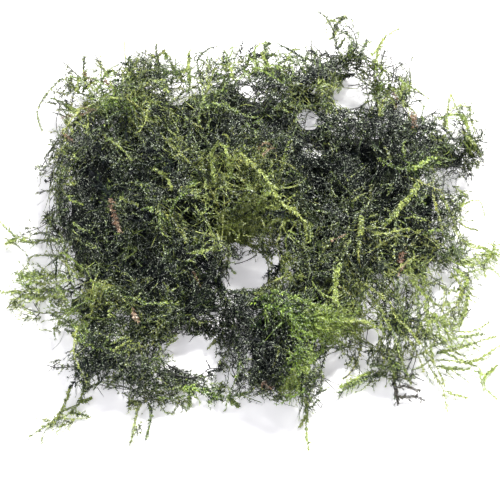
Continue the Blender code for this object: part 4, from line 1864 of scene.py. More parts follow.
def cut_into_shoots(route: np.ndarray, size: float, tone: Tone, hue: Hue,
                    rng: np.random.Generator) -> Shoots:
    """A long route as a batch of short shoots end to end.

    The girth runs evenly from the route's root to its tip.

    Args:
        route: points at even steps, (n, 3).
        size: girth at the root, as a share of a full shoot's.
        tone, hue: the route's colour.
        rng: the source of chance.

    Returns:
        The shoots.
    """
    steps = len(route) - 1
    pieces = max(int(math.ceil(steps / ROUTES.steps)), 1)
    reach = np.linspace(0.0, steps, pieces * ROUTES.steps + 1)
    even = np.stack([np.interp(reach, np.arange(steps + 1), route[:, axis])
                     for axis in range(3)], -1)
    rows = np.arange(pieces)[:, None] * ROUTES.steps + np.arange(ROUTES.steps + 1)
    shares = np.linspace(0.0, 1.0, pieces + 1)
    tip = ROUTES.tip_girth * size
    girth = size + (tip - size) * np.stack((shares[:-1], shares[1:]), -1)
    tones, hues = (middle.value + rng.normal(0.0, each) + rng.normal(0.0, own, pieces)
                   for middle, (each, own) in ((tone, ROUTES.tone), (hue, ROUTES.hue)))
    facing = unit(UPWARD + rng.normal(0.0, ROUTES.facing, (pieces, 3)))
    return Shoots(even[rows], facing, girth, tones, hues)


def grow_along(growth: Growth, route: np.ndarray, size: float, look: Look) -> None:
    """Dress a route in a look: leaves along it, and side shoots if it has any.

    Args:
        growth: what the mesh is added to.
        route: places along the shoot, from its root to its tip.
        size: girth at the root, as a share of a full shoot's.
        look: what grows there.
    """
    wear, tone, hue = look.value
    habit = ROUTE_HABITS[wear]
    shoots = cut_into_shoots(smooth_route(route), size, tone, hue, growth.rng)
    growth.add(shoots, habit.axis_leaves)
    if habit.sides:
        growth.add(side_shoots(shoots, habit, growth.rng), habit.side_leaves)


def points_of(words: list[str]) -> np.ndarray:
    """The points in words of a chart, one row each."""
    return np.array([numbers(word) for word in words])


def size_and_least(word: str) -> tuple[float, float]:
    """The size and the least height in a word of a chart, 0 where it has no height."""
    size, least, *_ = (*numbers(word), 0.0)
    return size, least


@dataclass(frozen=True)
class Tuft:
    """Many like shoots in an oval of the picture that all go roughly one way.

    size: the shoots' girth, as a share of a full shoot's.
    least: the least height of their places in millimetres.
    oval: where they root.
    count: how many.
    length: their mean length, pixels.
    bearing, spread: their way, degrees anticlockwise from the picture's right, and how
        much it strays.
    """

    look: Look
    size: float
    least: float
    oval: Oval
    count: int
    length: float
    bearing: float
    spread: float

    @classmethod
    def read(cls, chart: str) -> tuple["Tuft", ...]:
        """The tufts of a chart: look, size and least, middle, half sizes, count, length, way."""
        return tuple(cls(Look[look], *size_and_least(size), Oval(*numbers(middle), *numbers(half)),
                         int(count), float(length), *numbers(way))
                     for look, size, middle, half, count, length, way in chart_rows(chart))


TUFTS = Tuft.read("""
# The left edge and the left fronds.
OLIVE 0.9,7 68,150 8,20 18 16 160,45
GREEN 0.9,6 66,188 8,24 18 13 180,45
DARK 0.9,7 80,142 12,12 34 12 170,60
DARK 0.9,6 62,212 6,12 14 10 180,50
DARK 0.9,7 66,166 6,12 16 9 190,40
BRIGHT 0.9,8 70,170 8,34 20 16 120,60
LUSH 0.9,4 40,279 18,5 18 18 180,30
BRIGHT 0.9,3 42,294 20,6 18 20 185,30
BRIGHT 0.8,3 62,314 10,6 8 16 200,40
# The front left mass, round the bay.
DARK 0.9,3 84,372 8,12 24 11 -90,40
DARK 0.9,4 90,348 8,14 20 12 -110,40
LUSH 0.9,4 86,334 8,8 12 14 150,50
BRIGHT 0.7,1.5 62,418 14,4 7 16 205,30
DARK 0.9,4 134,370 12,12 30 18 -40,50
DARK 0.9,5 128,346 10,20 22 18 -80,50
OLIVE 0.9,3 158,394 24,7 50 13 -5,60
DARK 0.9,3 170,382 18,5 30 16 10,60
GREEN 0.8,3 202,391 18,5 26 13 0,50
DARK 0.9,4 258,386 12,4 16 8 -10,60
# The rims of the bay and of the hole.
OLIVE 0.8,2 180,334 24,4 26 10 -85,50
DARK 0.9,3 212,334 14,8 44 18 -100,40
DARK 0.9,3 228,342 7,10 20 14 -110,60
DARK 0.9,3 214,366 4,10 12 10 190,60
GREEN 0.8,4 154,354 5,12 10 12 -30,50
BLACK_SPRIGS 0.8,3.5 168,371 15,7 72 14 -42,25
DARK 0.9,3 138,382 12,6 20 12 -20,60
BLACK_SPRIGS 0.9,5 234,312 14,14 40 12 -80,80
BLACK_SPRIGS 0.9,5 236,334 10,14 34 12 -80,80
DARK 0.9,5 202,326 20,8 50 11 -90,40
DARK 0.8,3 188,382 16,4 22 14 20,40
FRESH 0.6,4 274,262 5,22 8 12 180,70
BLACK_SPRIGS 0.9,3 246,293 22,3 44 11 30,70
BLACK_SPRIGS 0.9 246,303 22,6 36 14 0,70
OLIVE 0.8,4 224,262 6,10 24 9 -10,60
GREEN 0.6,5 262,246 12,8 16 12 -80,60
# The drape.
DRAPE 0.9 284,308 26,9 50 22 -20,25
PALE_DRAPE 0.9 322,322 26,9 46 26 -10,25
FRESH 0.8 350,326 22,8 22 26 -15,20
PALE_DRAPE 0.9 303,346 7,24 30 22 -85,20
LIME 0.8,4 292,376 8,9 16 16 -100,30
LIME 0.7,3 303,399 4,3 6 7 -90,45
DARK 0.8,3 312,382 4,10 26 6 -95,40
BLACK_SPRIGS 0.9 260,346 24,32 64 15 -60,80
# The front right.
FRESH 0.6,2 394,342 22,16 11 28 -70,28
LIME 0.7,2 444,346 26,16 20 34 -10,28
GREEN 0.7,4 402,316 14,14 24 28 -120,25
BRIGHT 0.7,4 432,320 22,12 30 24 -60,40
BRIGHT 0.7,3 384,368 16,5 20 16 0,50
BRIGHT 0.8,2.5 368,379 18,4 12 18 205,20
DARK 0.7,2 396,388 3,10 8 8 -90,50
FRESH 0.7,5 345,328 20,8 8 24 -30,25
BRIGHT 0.8 354,300 14,24 20 30 -65,25
# The right edge.
BRIGHT 0.8,4 458,206 12,18 18 18 -55,45
DARK 0.9,4 446,216 8,18 26 14 -60,60
GREEN 0.8,3 450,248 10,16 36 16 -30,60
LIME 0.8,3 482,250 15,8 24 16 -15,40
LIME 0.8,3 470,262 18,6 14 20 -20,30
LIME 0.8,3 460,300 8,22 14 22 -85,30
GREEN 0.9,6 458,148 16,10 26 16 20,60
OLIVE 0.9,5 472,156 8,12 14 12 -30,60
LUSH 0.8,8 464,118 10,10 12 18 60,50
DARK 0.9,7 424,142 16,18 50 14 -40,70
# The back edge.
DARK 0.9,7 342,128 26,8 84 12 -60,80
DARK 0.8,12 354,62 12,6 10 10 75,60
BRIGHT 0.8 386,92 16,12 24 18 70,60
LIME 0.8,11 376,66 8,12 6 18 70,40
GREEN 0.8,12 355,48 6,14 18 16 80,45
GREEN 0.7,15 344,28 10,8 10 10 80,60
DARK 0.9,10 326,67 22,5 34 10 30,50
DARK 0.9,8 274,80 30,6 60 9 50,60
BRIGHT 0.7,12 252,62 18,6 10 16 70,55
FRESH 0.6,12 222,66 18,7 14 14 85,55
GREEN 0.9,11 173,76 10,8 28 16 75,55
OLIVE 0.8,12 142,72 18,10 20 16 85,50
DARK 0.9,11 154,76 10,12 36 12 80,60
BRIGHT 0.7,11 100,78 18,10 16 14 80,60
OLIVE 0.8,8 62,92 8,8 8 12 120,60
DRAPE 0.9,10 112,104 16,12 40 14 60,90
# Middle masses.
BRIGHT 0.7 228,185 40,26 50 22 40,60
BRIGHT 0.6 232,222 24,14 36 20 -60,70
LIME 0.6 290,252 10,22 14 18 -80,50
BRIGHT 0.7 414,266 16,22 36 22 -70,45
GREEN 0.9 415,164 18,8 24 16 20,60
GREEN 0.8 414,206 14,8 8 18 40,40
""")
RIM_TUFTS = Tuft.read("""
DARK 0.9,6 272,232 14,7 16 12 -40,80
DARK 0.9,5 300,254 7,12 18 11 -80,60
BRIGHT 0.7,8 244,228 24,11 50 12 60,80
FRESH 0.7,9 240,235 20,7 40 10 90,60
FRESH 0.7,8 276,212 16,12 36 13 40,70
OLIVE 0.9,8 376,98 8,8 14 10 -60,70
DARK 0.9,4 172,322 14,7 26 10 -60,70
BLACK_SPRIGS 0.9,3 221,362 4,8 10 8 -90,50
OLIVE 0.8,3 444,257 7,6 22 9 -60,60
DARK 0.9,6 446,140 9,5 8 9 -30,60
OLIVE 0.8,3 456,311 8,10 14 13 -80,40
BLACK_SPRIGS 0.9 78,199 9,8 16 10 0,80
DARK 0.9,4 470,152 10,7 16 9 0,60
DARK 0.9,8.5 280,79 12,4 30 7 40,60
OLIVE 0.8,11 235,58 5,6 10 10 80,50
OLIVE 0.8,11 122,74 8,6 12 10 80,60
OLIVE 0.9,4 432,248 8,7 26 10 -60,70
BLACK_SPRIGS 0.9,4 252,318 9,8 20 9 -60,80
OLIVE 0.9,3 142,390 9,4 10 8 -40,60
BLACK_SPRIGS 0.9,3 240,376 6,6 16 8 -90,60
BLACK_SPRIGS 0.9,7 382,128 10,6 20 9 -60,70
BLACK_SPRIGS 0.9 354,174 12,10 24 10 0,80
BLACK_SPRIGS 0.9,6 426,160 9,8 16 10 0,80
FRESH 0.7,8 250,214 8,12 26 12 80,60
PALE_DRAPE 0.9 314,324 18,6 20 16 -10,30
DARK 0.9,5 112,320 12,6 28 9 -40,70
BLACK_SPRIGS 0.9,5 211,266 7,9 22 9 0,80
DARK 0.8,5 268,256 5,3 12 7 90,60
BLACK_SPRIGS 0.9,7 424,138 14,8 34 10 -30,70
DARK 0.9,6 418,194 16,6 30 10 -30,70
DARK 0.8,5 379,284 8,8 16 10 -80,60
OLIVE 0.7,3 18,302 7,4 7 11 190,30
OLIVE 0.7,2 412,373 6,4 8 8 -60,50
OLIVE 0.8,11 361,60 5,7 12 8 80,50
BLACK_SPRIGS 0.9,3 92,362 14,8 34 10 -40,70
BLACK_SPRIGS 0.9,4 136,346 10,7 16 9 -40,70
BLACK_SPRIGS 0.9,3 268,372 18,14 34 10 -90,80
OLIVE 0.8,9 70,84 6,8 10 10 100,60
BLACK_SPRIGS 0.9,4 236,308 8,6 20 9 0,80
OLIVE 0.8,2 311,397 4,4 8 7 -80,40
GREEN 0.8,2 214,400 8,3 8 8 -60,50
OLIVE 0.8,5 46,170 5,12 10 10 180,40
OLIVE 0.7,2 36,315 10,4 8 12 200,30
OLIVE 0.7,1.5 140,426 4,6 7 9 -80,30
GREEN 0.9,9 206,98 20,6 26 11 60,70
BLACK_SPRIGS 0.9,4 303,347 6,8 34 8 -80,80
LIME 0.8,3 290,384 10,10 18 10 -90,60
PALE_DRAPE 0.9 324,327 26,7 26 20 -10,25
FRESH 0.7,5 368,331 10,7 12 16 -40,30
DARK 0.9,4 236,255 8,5 16 9 0,80
BLACK_SPRIGS 0.9,4 243,295 16,6 34 10 10,80
BLACK_SPRIGS 0.9,4 226,324 8,8 34 10 0,80
BLACK_SPRIGS 0.9,3 230,356 5,14 10 10 -90,70
DARK 0.9,3 198,377 8,4 10 8 -60,70
OLIVE 0.8,3 392,349 7,6 14 9 -70,50
BLACK_SPRIGS 0.9,7 396,119 9,7 26 11 -60,70
BLACK_SPRIGS 0.9,7 420,124 9,6 22 10 -40,70
OLIVE 0.9,11 214,76 14,5 20 11 70,60
DARK 0.9,9 264,75 24,4 40 8 60,60
DARK 0.9,3 120,376 9,6 18 10 -40,60
OLIVE 0.8,2 150,400 14,3 12 9 -40,60
DARK 0.9,4 198,322 12,8 34 9 -60,60
DARK 0.9,4 163,336 9,6 34 9 -60,60
DARK 0.9,5 133,345 9,8 22 11 -60,60
DARK 0.9,4 138,363 10,8 24 12 -50,60
BLACK_SPRIGS 0.8,3 172,374 14,5 14 12 -42,25
BRIGHT 0.8,3 56,330 7,6 5 13 200,40
BRIGHT 0.7,3 28,311 9,6 8 14 200,30
OLIVE 0.7,1.5 60,421 14,3 9 14 205,30
OLIVE 0.7,3 26,236 7,6 8 13 160,30
OLIVE 0.8,3 318,379 7,14 34 10 -80,60
OLIVE 0.8,3 350,348 11,9 16 12 -60,50
OLIVE 0.8,3 379,353 11,8 30 12 -60,60
OLIVE 0.8,3 413,324 12,8 22 14 -60,60
OLIVE 0.8,3 459,246 8,14 30 12 -60,60
OLIVE 0.8,3 466,277 4,12 14 13 -85,40
DARK 0.9,5 463,170 8,8 12 10 -60,70
DARK 0.9,4 456,200 11,6 24 11 -60,70
GREEN 0.8,2 278,397 7,4 12 8 -60,60
OLIVE 0.8,9 366,82 8,9 16 10 80,60
OLIVE 0.8,12 311,56 5,7 6 12 80,50
DARK 0.7,14 342,30 13,5 16 8 60,60
OLIVE 0.8,9 70,74 7,7 6 11 100,60
OLIVE 0.8,12 144,60 7,6 9 10 80,60
BLACK_SPRIGS 0.9,7 354,129 30,7 62 10 -60,80
BLACK_SPRIGS 0.9,3 211,369 4,6 12 7 -90,50
OLIVE 0.8,3 206,388 5,4 8 7 -60,60
BLACK_SPRIGS 0.9,5 305,344 4,6 18 6 -90,80
DARK 0.9,5 283,302 9,4 16 9 0,80
DARK 0.9,5 308,293 7,5 12 8 -60,60
BLACK_SPRIGS 0.9,8 330,121 16,5 26 9 0,80
BLACK_SPRIGS 0.9,7 290,141 12,6 24 9 0,80
BLACK_SPRIGS 0.9 350,171 10,7 16 9 0,80
OLIVE 0.9,10 280,72 14,5 16 8 60,60
BLACK_SPRIGS 0.9 177,184 8,7 16 9 0,80
BLACK_SPRIGS 0.9,7 75,144 9,8 18 9 0,80
OLIVE 0.9,4 64,296 8,7 16 10 200,50
DARK 0.9,4 80,348 8,7 18 10 -90,60
DARK 0.9,5 98,331 12,5 18 9 0,80
OLIVE 0.8,2 62,366 7,5 8 10 200,40
DARK 0.9,3 150,375 8,5 12 9 -40,40
OLIVE 0.8,2 180,402 6,4 8 8 -60,60
OLIVE 0.8,3 353,360 7,7 12 10 -80,40
BLACK_SPRIGS 0.9,5 222,300 9,4 16 8 0,80
DARK 0.9,5 332,271 6,6 12 9 -70,60
OLIVE 0.7,3 33,229 6,5 6 9 150,30
OLIVE 0.8,8 72,92 6,7 8 9 100,60
OLIVE 0.8,11 98,66 5,6 6 9 80,40
OLIVE 0.8,10 391,79 6,6 8 9 70,60
BLACK_SPRIGS 0.9 74,198 9,8 14 9 0,80
FRESH 0.6,10 240,237 16,7 40 10 90,60
FRESH 0.6,8 252,209 8,10 20 12 80,60
PALE_DRAPE 0.8,4 326,336 10,7 12 14 -30,40
BLACK_SPRIGS 1,5 306,345 5,8 22 7 -90,60
BLACK_SPRIGS 1,3 208,366 5,7 18 7 -90,50
DARK 0.9,8 289,137 14,7 34 9 0,80
BLACK_SPRIGS 0.9,6 353,172 11,9 24 9 0,80
BLACK_SPRIGS 0.9,6 178,182 9,7 20 9 0,80
BLACK_SPRIGS 0.9,6 153,196 9,8 18 9 0,80
DARK 0.9,5 73,200 8,6 14 9 0,80
DARK 0.9,5 98,330 16,5 24 9 0,80
DARK 0.9,4 129,344 8,7 18 9 0,80
BLACK_SPRIGS 0.9,6 333,267 7,6 14 8 0,80
DARK 0.9,6 290,301 14,4 24 8 0,80
DARK 0.9,9 240,84 8,6 14 9 0,80
DARK 0.9,9 262,94 10,5 14 9 0,80
DARK 0.9,5 427,160 9,8 16 9 0,80
DARK 0.9,5 158,223 7,8 12 9 0,80
FRESH 0.6,14 242,236 14,6 26 10 80,60
FRESH 0.6,14 252,212 9,10 22 12 80,50
FRESH 0.6,12 131,72 6,10 16 11 90,40
BRIGHT 0.7,10 140,97 10,5 12 10 30,50
FRESH 0.6,9 128,124 7,8 14 11 90,60
FRESH 0.6,11 322,88 14,5 20 11 20,60
BRIGHT 0.7,5 468,142 6,8 10 9 -60,40
BRIGHT 0.7,5 435,140 8,6 12 9 0,60
BRIGHT 0.7,3 32,272 10,5 12 9 180,50
FRESH 0.6,10 284,257 4,8 12 9 -80,30
BRIGHT 0.7,8 297,276 8,5 10 9 -70,50
BRIGHT 0.7,3 221,384 4,6 10 8 -90,40
BRIGHT 0.7,3 223,361 4,6 8 8 -90,40
PALE_DRAPE 0.8,6 326,336 12,9 14 13 -40,40
FRESH 0.6,2 132,402 6,6 10 8 -60,60
BRIGHT 0.7,3 395,366 6,7 10 9 -80,40
BRIGHT 0.7,4 165,354 14,4 12 9 -10,40
FRESH 0.6,11 378,66 7,5 8 9 60,50
FRESH 0.6,9 406,92 6,8 8 9 80,50
""")


@dataclass(frozen=True)
class Tufts(Piece):
    """Some of the tangle's tufts.

    Pairs are a least and a greatest, as a share of the mean: lift is of the strands' lift,
    and least of the least height.

    segments: steps along a shoot.
    leaves, side_leaves: on a shoot as long as a cut of a route, and on a side shoot.
    bend, waver_px: how far a tip goes aside, as a share of its length, and each point.
    """

    tufts: tuple[Tuft, ...]
    segments: int = 5
    leaves: int = 42
    side_leaves: int = 12
    stem_taper: float = 0.6
    tip_closing: float = 0.4
    length: tuple[float, float] = (0.5, 1.4)
    bend: float = 0.5
    waver_px: float = 0.8
    lift: tuple[float, float] = (0.2, 1.0)
    least: tuple[float, float] = (0.6, 1.2)
    girth: tuple[float, float] = (0.75, 1.2)
    tip_girth: float = 0.6
    facing: float = 0.4
    tone: float = 0.1
    hue: float = 0.2

    def _shoots(self, tuft: Tuft, workshop: Workshop) -> Shoots:
        """The shoots of a tuft.

        Each is straight in the picture but for a bend that grows as its square.

        Args:
            tuft: the tuft.
            workshop: what it is grown with.

        Returns:
            The shoots, without those that would reach into open ground.
        """
        rng, oval, count = workshop.rng, tuft.oval, tuft.count
        turn = rng.uniform(0.0, math.tau, count)
        reach = np.sqrt(rng.random(count))
        way = np.radians(tuft.bearing + rng.normal(0.0, tuft.spread, count))
        length = tuft.length * rng.uniform(*self.length, count)
        bend = rng.normal(0.0, self.bend, count)
        share = np.linspace(0.0, 1.0, self.segments + 1)
        along = length[:, None] * share
        aside = (bend * length)[:, None] * share ** 2
        aside = aside + rng.normal(0.0, self.waver_px, (count, len(share)))
        cosine, sine = np.cos(way)[:, None], np.sin(way)[:, None]
        px = (oval.px + oval.half_width * reach * np.cos(turn))[:, None]
        py = (oval.py + oval.half_height * reach * np.sin(turn))[:, None]
        lift = rng.uniform(*self.lift, (count, 1)) * STRAND_LIFT
        least = tuft.least * MM * rng.uniform(*self.least, (count, 1))
        lines = workshop.surface.seen_places(px + along * cosine - aside * sine,
                                             py - along * sine - aside * cosine, lift, least)
        _, tone, hue = tuft.look.value
        girth = tuft.size * rng.uniform(*self.girth, (count, 1)) * (1.0, self.tip_girth)
        facing = unit(UPWARD + rng.normal(0.0, self.facing, (count, 3)))
        tones = tone.value + rng.normal(0.0, self.tone, count)
        hues = hue.value + rng.normal(0.0, self.hue, count)
        shoots = Shoots(lines, facing, girth, tones, hues)
        return shoots.only(~OPEN_GROUND.holds(lines).any(1))

    def _habit(self, tuft: Tuft) -> FrondHabit:
        """How a tuft's shoots branch: as its look says, but with fewer and plainer leaves.

        Args:
            tuft: the tuft.

        Returns:
            The habit of its shoots.
        """
        wear, _, _ = tuft.look.value
        habit = ROUTE_HABITS[wear]
        share = tuft.length * VIEW.metres_per_px / (ROUTES.steps * ROUTES.spacing)
        leaves = replace(habit.axis_leaves, count=math.ceil(self.leaves * share), folded=False,
                         stem_taper=self.stem_taper, tip_closing=self.tip_closing)
        side_leaves = replace(habit.side_leaves, count=self.side_leaves, folded=False)
        return replace(habit, axis_leaves=leaves, side_leaves=side_leaves,
                       sides=math.ceil(habit.sides * share), side_segments=1)

    def grow(self, growth: Growth, workshop: Workshop) -> None:
        """Add the tufts' shoots.

        Args:
            growth: what they are added to.
            workshop: what they are grown with.
        """
        for tuft in self.tufts:
            habit, shoots = self._habit(tuft), self._shoots(tuft, workshop)
            growth.add(shoots, habit.axis_leaves)
            growth.add(side_shoots(shoots, habit, workshop.rng), habit.side_leaves)


@dataclass(frozen=True)
class Strand:
    """A shoot that stands out on the tangle, by the pixels that it runs through.

    It lies where the line of sight meets the tangle's smoothed top, raised by a lift, and
    nowhere below its own least height in millimetres.
    """

    look: Look
    size: float
    least: float
    route: np.ndarray

    @classmethod
    def read(cls, chart: str) -> tuple["Strand", ...]:
        """The strands of a chart: look, size and least height, and the route."""
        return tuple(cls(Look[look], *size_and_least(size), points_of(route))
                     for look, size, *route in chart_rows(chart))

    def grow(self, growth: Growth, surface: MatSurface, lift: float) -> None:
        """Add the strand to a growth, a lift above the surface."""
        places = surface.seen_places(*self.route.T, lift, self.least * MM)
        grow_along(growth, places, self.size, self.look)


